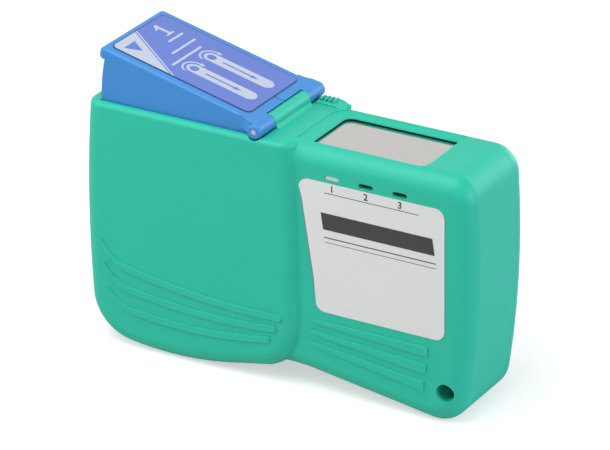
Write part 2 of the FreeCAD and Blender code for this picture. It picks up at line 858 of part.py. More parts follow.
# Whole case as one hollow form, then split into the front case and the rear cover
case_outer = joined("case_outer", outer_grip, outer_block, *swooshes, *bars)
CHANNEL_RIGHT = f"{WINDOW_RIGHT} + 2 * shutter_lap"
shutter_channel = brick(
    "shutter_channel",
    "block_left",
    CHANNEL_RIGHT,
    f"{SHUTTER_FRONT} - channel_gap",
    "split_y",
    f"{SHUTTER_BOTTOM} - channel_drop",
    "case_top - deck",
)
rack_channel = brick(
    "rack_channel",
    "block_left",
    CHANNEL_RIGHT,
    f"{GEAR_FRONT} - channel_gap",
    "split_y",
    f"{RACK_PITCH} - 2 * tooth_module",
    f"{RACK_TOP} + channel_gap",
)
case_walls = without("case_walls", case_outer, inner_grip, inner_block)
strap_tube = drum(
    "strap_tube",
    "strap_x",
    "strap_z",
    "strap_hole + strap_wall",
    "-block_half + block_wall / 2",
    "block_half - block_wall / 2",
)
strap_bore = drum("strap_bore", "strap_x", "strap_z", "strap_hole", "-2 * block_half", "2 * block_half")
strap_post = common("strap_post", strap_tube, outer_block)
case_shell = joined("case_shell", case_walls, strap_post)
openings = [well, front_ear_well, rear_ear_well, arm_slot, window, shutter_channel, rack_channel]
case_open = without("case_open", case_shell, *openings)
window_cuts = (window_bevel, window_step)
case_cut = without("case_cut", case_open, *window_cuts, label_recess, strap_bore, *type_slots)
pin_bore = drum("pin_bore", "hinge_x", HINGE_Z, "pin_radius + pin_gap", "-2 * grip_half", "2 * grip_half")

FAR = "3 * grip_half"
front_side = brick(
    "front_side", "4 * grip_left", "4 * end_x", f"-{FAR}", "split_y", "-case_top", "2 * case_top"
)
rear_side = brick(
    "rear_side", "4 * grip_left", "4 * end_x", "split_y + split_gap", FAR, "-case_top", "2 * case_top"
)

# Front case: posts for the reels, the drive gear and the return spring stand on its front wall
POST_REAR = f"{TAPE_REAR} + post_tip"
REEL_FRONT = "(tape_front - reel_gap - flange)"
REEL_REAR = f"({TAPE_REAR} + reel_gap + flange)"
GRIP_FLOOR = f"-{GRIP_INNER} - root"
BLOCK_FLOOR = f"-{BLOCK_INNER} - root"
STEP_REAR = f"{SKIRT_FRONT} - post_gap"
front_posts = [
    drum("winder_post", "winder_x", WINDER_Z, "post", GRIP_FLOOR, POST_REAR),
    drum("winder_step", "winder_x", WINDER_Z, "post + post_step", GRIP_FLOOR, STEP_REAR),
    drum("supply_post", "supply_x", "supply_z", "post", BLOCK_FLOOR, POST_REAR),
    drum(
        "supply_step", "supply_x", "supply_z", "post + post_step", BLOCK_FLOOR, f"{REEL_FRONT} - reel_gap"
    ),
    drum("gear_post_pin", GEAR_X, GEAR_Z, "gear_post", GRIP_FLOOR, f"{GEAR_REAR} + gear_stub"),
    drum("gear_post_step", GEAR_X, GEAR_Z, "gear_post + gear_step", GRIP_FLOOR, STEP_REAR),
    brick(
        "spring_shelf",
        "shelf_left",
        "shelf_right",
        GRIP_FLOOR,
        "shelf_rear",
        f"{SHELF_Z} - shelf_thick",
        SHELF_Z,
    ),
]
front_half = joined("front_half", common("front_walls", case_cut, front_side), knuckle, *front_posts)
front_case = without("front_case", front_half, front_scallop, rear_scallop, pin_bore, tongue_seat)

# Rear cover: sockets hold the reel posts' free ends
rear_sockets = [
    without(
        f"{name}_socket",
        drum(
            f"{name}_socket_body",
            x,
            z,
            "post + socket_wall",
            f"{REEL_REAR} + socket_gap",
            f"{inner} + root",
        ),
        drum(f"{name}_socket_bore", x, z, "post + running_gap", REEL_REAR, f"{POST_REAR} + root"),
    )
    for name, x, z, inner in (
        ("winder", "winder_x", WINDER_Z, GRIP_INNER),
        ("supply", "supply_x", "supply_z", BLOCK_INNER),
    )
]
rear_walls = common("rear_walls", case_cut, joined("rear_region", rear_side, tongue))
rear_half = joined("rear_half", rear_walls, thumb_pad, *thumb_ribs, *rear_sockets)
rear_cover = without("rear_cover", rear_half, rear_scallop)


# Lever, modelled level about its hinge and raised to rest by its placement
def on_hinge(item):
    """Carries a piece of the lever to its raised rest."""
    item.Placement = Placement(Vector(), Rotation(Vector(0, 1, 0), value("press_angle")))
    places = {"Placement.Base.x": "hinge_x", "Placement.Base.z": HINGE_Z}
    return bind(item, {**places, "Placement.Rotation.Angle": "press_angle"})


def on_arc(radius, height):
    """Place on an arc about the hinge, to the left, at a height."""
    return (f"-sqrt(({radius})^2 - ({height})^2)", height)


HOLLOW_REACH = "(lever_reach - skirt_wall)"
lever_outer = plate(
    "lever_outer",
    [
        ("0", "barrel"),
        (*on_arc("lever_reach", "barrel"), "lever_reach"),
        on_arc("lever_reach", "-lever_drop"),
        ("-3 * barrel", "-2.2 * barrel"),
        ("-barrel", "-1.1 * barrel"),
        ("0", "-barrel", "barrel"),
        ("barrel", "0", "barrel"),
    ],
    SKIRT_FRONT,
    f"-{SKIRT_FRONT}",
)
ON_TOP = in_plane("Z", value("barrel"))
round_edges(
    lever_outer,
    "lever_edge",
    lambda edge: ON_TOP(edge) and edge.BoundBox.XLength > edge.BoundBox.YLength,
)
lever_hollow = plate(
    "lever_hollow",
    [
        ("-1.2 * barrel", "barrel - lever_top"),
        (*on_arc(HOLLOW_REACH, "barrel - lever_top"), HOLLOW_REACH),
        on_arc(HOLLOW_REACH, "-2 * lever_drop"),
        ("-1.2 * barrel", "-2 * lever_drop"),
    ],
    SKIRT_REAR,
    f"-{SKIRT_REAR}",
)
lever_lip = plate(
    "lever_lip",
    square("-lever_reach - lip_length", "-lever_reach + skirt_wall / 2", "barrel - lip_height", "barrel"),
    SKIRT_FRONT,
    f"-{SKIRT_FRONT}",
)
round_edges(lever_lip, "lip_edge", in_plane("X", value("-lever_reach - lip_length")))
LIP_SIDE = at_depth(f"-{SKIRT_FRONT}")
round_edges(
    lever_lip,
    "lever_edge",
    lambda edge: LIP_SIDE(edge) and edge.BoundBox.XMin < value("-lever_reach"),
)
FLARE_LOW = "-hinge_rise + side_gap"
EAR_SHOULDER = "(ear_half - ear_round)"
FLARE_OUT = f"({EAR_SHOULDER} + {SKIRT_FRONT})"
FLARE_RADIUS = f"((flare^2 + {FLARE_OUT}^2) / (2 * {FLARE_OUT}))"
front_flare = slab(
    "front_flare",
    [
        ("-barrel - flare", f"{SKIRT_FRONT} + root"),
        ("-barrel - flare", SKIRT_FRONT, f"-{FLARE_RADIUS}"),
        ("-barrel", f"-{EAR_SHOULDER}"),
        ("0", f"-{EAR_SHOULDER}"),
        ("0", f"{SKIRT_FRONT} + root"),
    ],
    FLARE_LOW,
    "barrel",
)
rear_flare = slab(
    "rear_flare",
    [
        ("-barrel - flare", f"-{SKIRT_FRONT} - root"),
        ("0", f"-{SKIRT_FRONT} - root"),
        ("0", EAR_SHOULDER),
        ("-barrel", EAR_SHOULDER, f"-{FLARE_RADIUS}"),
        ("-barrel - flare", f"-{SKIRT_FRONT}"),
    ],
    FLARE_LOW,
    "barrel",
)
EAR_INNER = "(knuckle_half + knuckle_gap)"
front_ear = turned(
    "front_ear",
    [
        ("0", "-ear_half"),
        ("barrel - ear_round", "-ear_half", "ear_round"),
        ("barrel", f"-{EAR_SHOULDER}"),
        ("barrel", f"-{EAR_INNER}"),
        ("0", f"-{EAR_INNER}"),
    ],
    "0",
    "0",
)
rear_ear = turned(
    "rear_ear",
    [
        ("0", EAR_INNER),
        ("barrel", EAR_INNER),
        ("barrel", EAR_SHOULDER, "ear_round"),
        ("barrel - ear_round", "ear_half"),
        ("0", "ear_half"),
    ],
    "0",
    "0",
)


def polar(radius, angle):
    """A point at a radius and angle in the front view."""
    return Vector(radius * math.cos(math.radians(angle)), 0, radius * math.sin(math.radians(angle)))


def drive_arm():
    """Arm of the front skirt: outer teeth wind the reel, and inner teeth of its ring turn the pinion."""
    press = value("press_angle")
    rise, fall, slack = value(ADDENDUM), value(DEDENDUM), value("play")
    sector_count, ring_count = int(value("sector_teeth")), int(value("ring_teeth"))
    sector_first = bearing(HINGE, WINDER) + press - value("sector_before") * 360 / sector_count
    ring_first = bearing(HINGE, PINION) + press - value("ring_before") * 360 / ring_count
    sector = run_of_teeth(sector_count, sector_first, int(value("sector_shown")), rise, fall, slack)
    ring = run_of_teeth(ring_count, ring_first, int(value("ring_shown")), fall, rise, -slack)
    band = ring_count * value("tooth_module") / 2 + fall + value("ring_band")
    first = math.degrees(math.atan2(sector[0].z, sector[0].x))
    last = math.degrees(math.atan2(sector[-1].z, sector[-1].x))
    tail = math.degrees(math.atan2(ring[-1].z, ring[-1].x))
    share = value("gusset")
    skirt_end = Vector(-share * value("lever_reach"), 0, -share * value("lever_drop"))
    gusset = [Vector(), skirt_end, polar(share * sector[0].Length, first)]
    rim = [polar(band, last + (tail - last) * step / 4) for step in range(5)]
    points = gusset + sector + rim + ring[::-1]
    face = Part.Face(Part.makePolygon(points + points[:1]))
    shape = face.extrude(Vector(0, value("skirt_wall"), 0))
    shape.translate(Vector(0, value(SKIRT_FRONT), 0))
    return shape


arm = formed("drive_arm", drive_arm())
notches = [
    brick(
        "low_notch", "-barrel - barrel_gap", "2 * barrel", f"-{EAR_INNER}", EAR_INNER, "-2 * barrel", "0"
    ),
    brick("high_notch", "-notch_edge", "2 * barrel", f"-{EAR_INNER}", EAR_INNER, "-barrel", "2 * barrel"),
    drum("round_notch", "0", "0", "barrel + knuckle_gap", f"-{EAR_INNER}", EAR_INNER),
]
lever_bore = drum("lever_bore", "0", "0", "pin_radius + pin_gap", "-grip_half", "grip_half")
LABEL_LEFT = "(-lever_label_start - lever_label_length)"
LABEL_SEAT = "(barrel - label_sheet + label_sink)"
label_seat = slab(
    "label_seat",
    rounded(
        LABEL_LEFT,
        "-lever_label_start",
        "-lever_label_width / 2",
        "lever_label_width / 2",
        "label_corner",
    ),
    LABEL_SEAT,
    "2 * barrel",
)
lever_shell = without("lever_shell", lever_outer, lever_hollow)
ears = (front_flare, rear_flare, front_ear, rear_ear)
lever_whole = joined("lever_whole", lever_shell, lever_lip, *ears, arm)
GROOVE_BOTTOM = "barrel - groove_depth"
grooves = [
    brick(
        "near_groove",
        "-lever_label_start - root",
        "0",
        "-groove / 2",
        "groove / 2",
        GROOVE_BOTTOM,
        "2 * barrel",
    ),
    brick(
        "far_groove",
        "-2 * lever_reach",
        f"{LABEL_LEFT} + root",
        "-groove / 2",
        "groove / 2",
        GROOVE_BOTTOM,
        "2 * barrel",
    ),
]
push_lever = on_hinge(without("push_lever", lever_whole, *notches, *grooves, lever_bore, label_seat))
lever_label = on_hinge(
    slab(
        "lever_label",
        rounded(
            f"{LABEL_LEFT} + label_fit",
            "-lever_label_start - label_fit",
            "-lever_label_width / 2 + label_fit",
            "lever_label_width / 2 - label_fit",
            "label_corner",
        ),
        LABEL_SEAT,
        f"{LABEL_SEAT} + label_sheet",
    )
)
PIN_FRONT = "-ear_half + pin_sink"
hinge_pin = drum("hinge_pin", "hinge_x", HINGE_Z, "pin_radius", PIN_FRONT, f"-({PIN_FRONT})")

# Label plate on the block's front
front_label = plate(
    "front_label",
    [
        ("plate_left_low + label_fit", "plate_bottom + label_fit"),
        ("plate_right - label_fit", "plate_bottom + label_fit"),
        ("plate_right - plate_lean - label_fit", "plate_top - label_fit"),
        ("plate_left_top + label_fit", "plate_top - label_fit"),
    ],
    "-block_half - label_sink",
    "-block_half + label_sheet - label_sink",
)
round_edges(front_label, "plate_corner", along_y)


# Shutter: a plate under the window with a rack along its front edge
def rack():
    """Rack of the shutter, its teeth down, with a gap over the drive gear's axis at rest."""
    pitch_z, rise = value(RACK_PITCH), value(ADDENDUM)
    fall = value(DEDENDUM)
    pitch = math.pi * value("tooth_module")
    lean = math.tan(math.radians(value("tooth_slope")))
    half = pitch / 4 - value("play") / 2
    before = value("rack_before")
    count = math.ceil(value(STROKE) / pitch) + int(before + value("rack_after"))
    left = value(GEAR_X) - before * pitch
    points = [Vector(left, 0, pitch_z + fall)]
    for number in range(count):
        middle = left + (number + 0.5) * pitch
        points.append(Vector(middle - half - fall * lean, 0, pitch_z + fall))
        points.append(Vector(middle - half + rise * lean, 0, pitch_z - rise))
        points.append(Vector(middle + half - rise * lean, 0, pitch_z - rise))
        points.append(Vector(middle + half + fall * lean, 0, pitch_z + fall))
    points.append(Vector(value(WINDOW_RIGHT), 0, pitch_z + fall))
    points.append(Vector(value(WINDOW_RIGHT), 0, value(RACK_TOP)))
    points.append(Vector(left, 0, value(RACK_TOP)))
    face = Part.Face(Part.makePolygon(points + points[:1]))
    shape = face.extrude(Vector(0, value("gear_face"), 0))
    shape.translate(Vector(0, value(GEAR_FRONT), 0))
    return shape


shutter_plate = slab(
    "shutter_plate",
    square(f"{WINDOW_LEFT} - shutter_lap", f"{WINDOW_RIGHT} + shutter_lap", SHUTTER_FRONT, "split_y + 1"),
    SHUTTER_BOTTOM,
    SHUTTER_TOP,
)
shutter = joined("shutter", shutter_plate, formed("rack", rack()))

# Slotted plate and wiping bed: the tape runs between them
TAPE_MIDDLE = "(tape_front + tape_width / 2)"
WINDOW_MIDDLE = f"(({WINDOW_LEFT} + {WINDOW_RIGHT}) / 2)"
wipe_slots = []
for side in ("-", "+"):
    name = "front" if side == "-" else "rear"
    middle_y = f"({TAPE_MIDDLE} {side} wipe_pitch / 2)"
    start = f"({WINDOW_MIDDLE} - wipe_length / 2)"
    end = f"({WINDOW_MIDDLE} + wipe_length / 2)"
    lane = slab(
        f"{name}_lane",
        rounded(start, end, f"{middle_y} - wipe_slot / 2", f"{middle_y} + wipe_slot / 2", "wipe_corner"),
        PLATE_BOTTOM,
        PLATE_TOP,
    )
    eye = doc.addObject("Part::Cylinder", f"{name}_eye")
    bind(eye, {"Radius": "wipe_hole", "Height": "plate_thick"})
    bind(eye, {"Placement.Base.x": start, "Placement.Base.y": middle_y, "Placement.Base.z": PLATE_BOTTOM})
    wipe_slots += [lane, eye]
BED_OUTLINE = square(BED_LEFT, BED_RIGHT, "bed_front", "bed_rear")
slot_blank = slab("slot_blank", BED_OUTLINE, PLATE_BOTTOM, PLATE_TOP)
slot_plate = without("slot_plate", slot_blank, *wipe_slots)

BASE_LEFT = f"({ROLLER_LEFT} + roller + bed_gap)"
BASE_RIGHT = f"({ROLLER_RIGHT} - roller - bed_gap)"
FOOT_REAR = "bed_front + root"
FOOT_TOP = f"{BED_BOTTOM} + bed_foot"
bed_base = brick("bed_base_plate", BASE_LEFT, BASE_RIGHT, "bed_front", "bed_rear", BED_BOTTOM, BED_TOP)
front_rail = brick(
    "front_rail", BED_LEFT, BED_RIGHT, "bed_front", "bed_front + bed_rail", BED_BOTTOM, PLATE_BOTTOM
)
rear_rail = brick(
    "rear_rail", BED_LEFT, BED_RIGHT, "bed_rear - bed_rail", "bed_rear", BED_BOTTOM, PLATE_BOTTOM
)
left_foot = brick(
    "left_foot", BASE_LEFT, f"{BASE_LEFT} + bed_foot", f"-{BLOCK_INNER}", FOOT_REAR, BED_BOTTOM, FOOT_TOP
)
right_foot = brick(
    "right_foot", f"{BASE_RIGHT} - bed_foot", BASE_RIGHT, f"-{BLOCK_INNER}", FOOT_REAR, BED_BOTTOM, FOOT_TOP
)
bed_whole = joined("bed_whole", bed_base, front_rail, rear_rail, left_foot, right_foot)
pin_holes = [
    drum(f"pin_hole_{name}", x, ROLLER_Z, "roller_pin + press_gap", "2 * bed_front", "2 * bed_rear")
    for name, x in (("left", ROLLER_LEFT), ("right", ROLLER_RIGHT))
]
wiping_bed = without("wiping_bed", bed_whole, *pin_holes)
wiping_pad = slab(
    "wiping_pad",
    square(
        f"{BASE_LEFT} + pad_inset",
        f"{BASE_RIGHT} - pad_inset",
        "tape_front - pad_margin",
        f"{TAPE_REAR} + pad_margin",
    ),
    BED_TOP,
    PAD_TOP,
)
type_tab = brick(
    "type_tab",
    "slot_x - slot_length / 2 - tab_margin",
    "slot_x + slot_length / 2 + tab_margin",
    f"-{BLOCK_INNER} + tab_gap",
    "bed_front",
    f"{SLOT_Z} - slot_height / 2 - tab_margin",
    f"{SLOT_Z} + slot_height / 2 + tab_margin",
)

guides = []
for name, x in (("left", ROLLER_LEFT), ("right", ROLLER_RIGHT)):
    ends = ("tape_front - roller_margin", f"{TAPE_REAR} + roller_margin")
    section = square("roller_pin + running_gap", "roller", *ends)
    guides.append(turned(f"guide_roller_{name}", section, x, ROLLER_Z))
    guides.append(drum(f"guide_pin_{name}", x, ROLLER_Z, "roller_pin", "bed_front", "bed_rear"))

# Reels, their rolls and the winding gear with its spring pawls
BORE = "(post + running_gap)"
TUBE = "(post + running_gap + reel_tube)"
CORE_INNER = "(reel_core - core_wall)"
RECESS = f"({REEL_FRONT} + ratchet_face)"
WEB = f"({RECESS} + reel_web)"


def reel_section(flange_radius):
    """Half section of a reel: bearing tube, web, core and two flanges."""
    return [
        (BORE, RECESS),
        (CORE_INNER, RECESS),
        (CORE_INNER, REEL_FRONT),
        (flange_radius, REEL_FRONT),
        (flange_radius, f"{REEL_FRONT} + flange"),
        ("reel_core", f"{REEL_FRONT} + flange"),
        ("reel_core", f"{REEL_REAR} - flange"),
        (flange_radius, f"{REEL_REAR} - flange"),
        (flange_radius, REEL_REAR),
        (CORE_INNER, REEL_REAR),
        (CORE_INNER, WEB),
        (TUBE, WEB),
        (TUBE, REEL_REAR),
        (BORE, REEL_REAR),
    ]


def ratchet():
    """Ring of saw teeth inside the winding reel's front recess."""
    count = int(value("ratchet_teeth"))
    outer, inner = value(CORE_INNER), value(f"{CORE_INNER} - ratchet_depth")
    step = 360 / count
    saw = []
    for number in range(count):
        saw.append(polar(outer, number * step))
        saw.append(polar(inner, (number + value("ratchet_slope")) * step))
    ring = Part.Face(Part.Wire(Part.makeCircle(outer + value("root"), Vector(), Vector(0, 1, 0))))
    ring = ring.cut(Part.Face(Part.makePolygon(saw + saw[:1])))
    shape = ring.extrude(Vector(0, value("ratchet_face + root"), 0))
    shape.translate(Vector(WINDER[0], value(REEL_FRONT), WINDER[1]))
    return shape


def pawls():
    """Three curved spring arms on the winding gear's hub, their tips against the saw teeth."""
    tip = value(f"{CORE_INNER} - pawl_tip_gap")
    hub = value(f"{TUBE} - root")
    outside = value(f"{CORE_INNER} - ratchet_depth - pawl_gap")
    inside = outside - value("pawl")
    nose = (outside + tip) / 2
    count, steps = 3, 6
    shapes = []
    for number in range(count):
        start = number * 360 / count
        outer = [polar(outside, start + 16 + 84 * step / steps) for step in range(steps + 1)]
        inner = [polar(inside, start + 85 - 70 * step / steps) for step in range(steps + 1)]
        stem = [polar(hub, start + 112), polar(hub, start + 88)]
        points = [polar(tip, start + 2), *outer, *stem, *inner, polar(nose, start + 2)]
        face = Part.Face(Part.makePolygon(points + points[:1]))
        shapes.append(face.extrude(Vector(0, value("ratchet_face - 2 * pawl_play"), 0)))
    shape = shapes[0].multiFuse(shapes[1:])
    shape.translate(Vector(WINDER[0], value(f"{REEL_FRONT} + pawl_play"), WINDER[1]))
    return shape


take_up_spool = turned("take_up_spool", reel_section("winder_flange"), "winder_x", WINDER_Z)
take_up_reel = joined("take_up_reel", take_up_spool, formed("ratchet", ratchet()))
ROLL_INNER = "reel_core + roll_gap"
used_section = square(ROLL_INNER, "used_roll", "tape_front", TAPE_REAR)
take_up_roll = turned("take_up_roll", used_section, "winder_x", WINDER_Z)
supply_reel = turned("supply_reel", reel_section("supply_flange"), "supply_x", "supply_z")
fresh_section = square(ROLL_INNER, "fresh_roll", "tape_front", TAPE_REAR)
supply_roll = turned("supply_roll", fresh_section, "supply_x", "supply_z")

WINDER_COUNT = int(value("winder_teeth"))
WINDER_FIRST = bearing(WINDER, HINGE) + 180 / WINDER_COUNT
winder_wheel = toothed_wheel(
    "winder_wheel", WINDER_COUNT, WINDER_FIRST, "winder_x", WINDER_Z, SKIRT_FRONT, SKIRT_REAR
)
winder_hub = drum("winder_hub", "winder_x", WINDER_Z, TUBE, SKIRT_FRONT, f"{RECESS} - pawl_play")
winder_bore = drum("winder_bore", "winder_x", WINDER_Z, BORE, "-2 * grip_half", "2 * grip_half")
winder_whole = joined("winder_whole", winder_wheel, winder_hub, formed("pawls", pawls()))
winding_gear = without("winding_gear", winder_whole, winder_bore)

# Drive gear: a pinion in the lever's ring and a wheel under the shutter's rack, on one hub
PINION_COUNT = int(value("pinion_teeth"))
GEAR_COUNT = int(value("gear_teeth"))
MESH = bearing(HINGE, PINION)
pinion = toothed_wheel("pinion", PINION_COUNT, MESH, GEAR_X, GEAR_Z, SKIRT_FRONT, GEAR_FRONT)
wheel = toothed_wheel("wheel", GEAR_COUNT, 90, GEAR_X, GEAR_Z, GEAR_FRONT, GEAR_REAR)
GEAR_BORE = "gear_post + running_gap"
gear_bore = drum("gear_bore", GEAR_X, GEAR_Z, GEAR_BORE, "-2 * grip_half", "2 * grip_half")
HOLE_REACH = f"gear_hole_place * {GEAR_PITCH}"
gear_holes = [
    drum(
        f"gear_hole_{number + 1}",
        f"{GEAR_X} + {HOLE_REACH} * cos({number} * 360 / gear_hole_count)",
        f"{GEAR_Z} + {HOLE_REACH} * sin({number} * 360 / gear_hole_count)",
        "gear_hole",
        "-2 * grip_half",
        "2 * grip_half",
    )
    for number in range(int(value("gear_hole_count")))
]
drive_gear = without("drive_gear", joined("gear_whole", pinion, wheel), gear_bore, *gear_holes)
CLIP_FRONT = f"{GEAR_REAR} + clip_gap"
clip_section = square("gear_post + press_gap", "2 * gear_post", CLIP_FRONT, f"{CLIP_FRONT} + clip")
gear_clip = turned("gear_clip", clip_section, GEAR_X, GEAR_Z)


# Tape between the rolls: lines and arcs over the two guide rollers, with a gap to what turns
def tape():
    """Ribbon from the fresh roll over both rollers to the used roll."""
    gap, sheet_half = value("tape_gap"), value("tape_thick / 2")
    roller_radius = value("roller") + gap + sheet_half
    wheels = [
        (SUPPLY, value("fresh_roll") + gap + sheet_half, 1),
        ((value(ROLLER_RIGHT), value(ROLLER_Z)), roller_radius, 1),
        ((value(ROLLER_LEFT), value(ROLLER_Z)), roller_radius, 1),
        (WINDER, value("used_roll") + gap + sheet_half, -1),
    ]

    def side(offset):
        """Edges of one face of the ribbon, from the fresh roll to the used one."""
        touches = []
        for (near, near_radius, near_turn), (far, far_radius, far_turn) in zip(wheels, wheels[1:]):
            start_reach = near_turn * near_radius + offset
            end_reach = far_turn * far_radius + offset
            span = math.dist(near, far)
            heading = math.radians(bearing(near, far)) - math.asin((end_reach - start_reach) / span)
            normal = (-math.sin(heading), math.cos(heading))
            touches.append(Vector(near[0] - start_reach * normal[0], 0, near[1] - start_reach * normal[1]))
            touches.append(Vector(far[0] - end_reach * normal[0], 0, far[1] - end_reach * normal[1]))
        edges = []
        for number in range(0, len(touches), 2):
            edges.append(Part.makeLine(touches[number], touches[number + 1]))
            if number + 2 < len(touches):
                (x, z), radius, _ = wheels[number // 2 + 1]
                centre = Vector(x, 0, z)
                middle = (touches[number + 1] + touches[number + 2]) / 2 - centre
                crown = centre + middle.normalize() * (radius + offset)
                edges.append(Part.Arc(touches[number + 1], crown, touches[number + 2]).toShape())
        return edges, touches[0], touches[-1]

    outer, outer_start, outer_end = side(sheet_half)
    inner, inner_start, inner_end = side(-sheet_half)
    ends = [Part.makeLine(outer_end, inner_end), Part.makeLine(inner_start, outer_start)]
    face = Part.Face(Part.Wire(Part.__sortEdges__(outer + inner + ends)))
    shape = face.extrude(Vector(0, value("tape_width"), 0))
    shape.translate(Vector(0, value("tape_front"), 0))
    return shape


tape_span = formed("tape_span", tape())


# Return spring: a steel leaf that lies on the shelf, bends back on itself and lifts the lever
LEAF_LEFT = "(shelf_right - leaf_foot)"
LEAF_TOP = f"({SHELF_Z} + 2 * leaf_bend)"
return_spring = plate(
    "return_spring",
    [
        (LEAF_LEFT, SHELF_Z),
        ("shelf_right", SHELF_Z),
        ("shelf_right", f"{SHELF_Z} + leaf"),
        (LEAF_LEFT, f"{SHELF_Z} + leaf", "-leaf_ease * (leaf_bend - leaf)"),
        (LEAF_LEFT, f"{LEAF_TOP} - leaf"),
        (f"{LEAF_LEFT} + leaf_reach", f"{SHELF_Z} + leaf_rise"),
        (f"{LEAF_LEFT} + leaf_reach - leaf", f"{SHELF_Z} + leaf_rise"),
        (LEAF_LEFT, LEAF_TOP, "leaf_ease * leaf_bend"),
    ],
    "-leaf_half",
    "leaf_half",
)

NODES = [
    front_case,
    rear_cover,
    push_lever,
    lever_label,
    hinge_pin,
    front_label,
    shutter,
    slot_plate,
    wiping_bed,
    wiping_pad,
    type_tab,
    *guides,
    take_up_reel,
    take_up_roll,
    winding_gear,
    supply_reel,
    supply_roll,
    drive_gear,
    gear_clip,
    tape_span,
    return_spring,
]
doc.recompute()
failed = [item.Name for item in doc.Objects if "Invalid" in item.State or "Error" in item.State]
for item in NODES:
    shape = item.Shape
    if shape.isNull() or not shape.isValid() or len(shape.Solids) != 1:
        failed.append(item.Label)
if failed:
    raise SystemExit(f"Not written, these failed: {failed}")
os.makedirs("parts", exist_ok=True)
for item in NODES:
    item.Shape.exportStep(f"parts/{item.Label}.step")
    print(item.Label, round(item.Shape.Volume, 1))
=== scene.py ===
import math

import bpy
from mathutils import Matrix, Vector


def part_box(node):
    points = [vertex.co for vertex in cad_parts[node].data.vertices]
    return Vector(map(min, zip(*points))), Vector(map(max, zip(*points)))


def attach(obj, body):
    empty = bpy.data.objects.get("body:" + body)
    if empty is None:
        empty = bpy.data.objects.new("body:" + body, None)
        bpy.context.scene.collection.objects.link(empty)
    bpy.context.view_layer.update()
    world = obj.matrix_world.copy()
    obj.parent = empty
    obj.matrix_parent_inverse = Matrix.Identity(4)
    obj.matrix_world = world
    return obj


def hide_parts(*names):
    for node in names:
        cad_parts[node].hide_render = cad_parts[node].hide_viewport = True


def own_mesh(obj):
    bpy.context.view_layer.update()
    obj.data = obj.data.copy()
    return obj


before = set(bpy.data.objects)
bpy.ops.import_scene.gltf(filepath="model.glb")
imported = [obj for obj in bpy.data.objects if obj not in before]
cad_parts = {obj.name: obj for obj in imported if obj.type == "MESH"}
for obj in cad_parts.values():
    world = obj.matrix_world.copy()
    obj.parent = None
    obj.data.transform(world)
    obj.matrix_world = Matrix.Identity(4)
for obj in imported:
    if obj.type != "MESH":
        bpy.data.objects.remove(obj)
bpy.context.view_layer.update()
bpy.ops.object.select_all(action="DESELECT")


# Front case: the main moulding of the cassette, in satin green plastic, with the grip, the block
# and every post inside. Its mould is spark-finished, so the skin has a fine even grain, and hands
# have polished the middle of the grip a little. Its edges are painted paler, partly as wearing from use
# and partly as a painted highlight.
class Wire:
    """A shader socket that takes part in plain arithmetic and can add further nodes to its material."""

    def __init__(self, tree, socket=None):
        self.tree = tree
        self.socket = socket

    def node(self, kind, settings, feeds, output=0):
        made = self.tree.nodes.new(kind)
        for name, setting in settings.items():
            setattr(made, name, setting)
        for name, source in feeds.items():
            if isinstance(source, Wire):
                self.tree.links.new(source.socket, made.inputs[name])
            else:
                made.inputs[name].default_value = source
        return Wire(self.tree, made.outputs[output])

    def maths(self, operation, *feeds):
        return self.node("ShaderNodeMath", {"operation": operation}, dict(enumerate(feeds)))

    def __add__(self, other):
        return self.maths("ADD", self, other)

    __radd__ = __add__

    def __sub__(self, other):
        return self.maths("SUBTRACT", self, other)

    def __rsub__(self, other):
        return self.maths("SUBTRACT", other, self)

    def __mul__(self, other):
        return self.maths("MULTIPLY", self, other)

    __rmul__ = __mul__

    def __truediv__(self, other):
        return self.maths("DIVIDE", self, other)

    def __gt__(self, other):
        return self.maths("GREATER_THAN", self, other)

    def __lt__(self, other):
        return self.maths("LESS_THAN", self, other)

    def __abs__(self):
        return self.maths("ABSOLUTE", self)


def bare_material(name):
    """A new material, the wire that adds its nodes, and its main shader."""
    material = bpy.data.materials.new(name)
    material.use_nodes = True
    tree = material.node_tree
    return material, Wire(tree), tree.nodes["Principled BSDF"]


def feed(shader, name, source):
    """Gives one socket of a shader a value or a wire."""
    if isinstance(source, Wire):
        source.tree.links.new(source.socket, shader.inputs[name])
    else:
        shader.inputs[name].default_value = source


def in_millimetres(wire):
    """Object coordinates in millimetres, as one vector."""
    metres = wire.node("ShaderNodeTexCoord", {}, {}, "Object")
    return wire.node("ShaderNodeVectorMath", {"operation": "SCALE"}, {0: metres, "Scale": 1000.0})


def clouds(wire, place, per_mm, detail=3.0):
    """Soft noise around one half, with so many cells to the millimetre."""
    sockets = {"Vector": place, "Scale": per_mm, "Detail": detail, "Roughness": 0.55}
    return wire.node("ShaderNodeTexNoise", {}, sockets, "Fac")


def swing(noise, width):
    """Noise moved to vary about nothing, over one width."""
    return width * (noise - 0.5)


def mixed(wire, share, first, second):
    """Two colours mixed by a share, each a plain colour or a wire."""
    colours = [one if isinstance(one, Wire) else (*one, 1.0) for one in (first, second)]
    return wire.node("ShaderNodeMix", {"data_type": "RGBA"}, {0: share, 6: colours[0], 7: colours[1]}, 2)


def worn(wire, radius, gain):
    """Share of edge wearing and painted edge highlight: nothing on flat faces, rising to one on sharp
    edges.
    """
    softened = wire.node("ShaderNodeBevel", {"samples": 4}, {"Radius": radius})
    facing = wire.node("ShaderNodeNewGeometry", {}, {}, "Normal")
    normals = {0: softened, 1: facing}
    kept = wire.node("ShaderNodeVectorMath", {"operation": "DOT_PRODUCT"}, normals, "Value")
    return wire.maths("MINIMUM", gain * (1.0 - kept), 1.0)


def relief(wire, shader, height, depth, strength):
    """Bumps a surface by a height, with a depth in millimetres."""
    sockets = {"Strength": strength, "Distance": depth / 1000.0, "Height": height}
    feed(shader, "Normal", wire.node("ShaderNodeBump", {}, sockets))


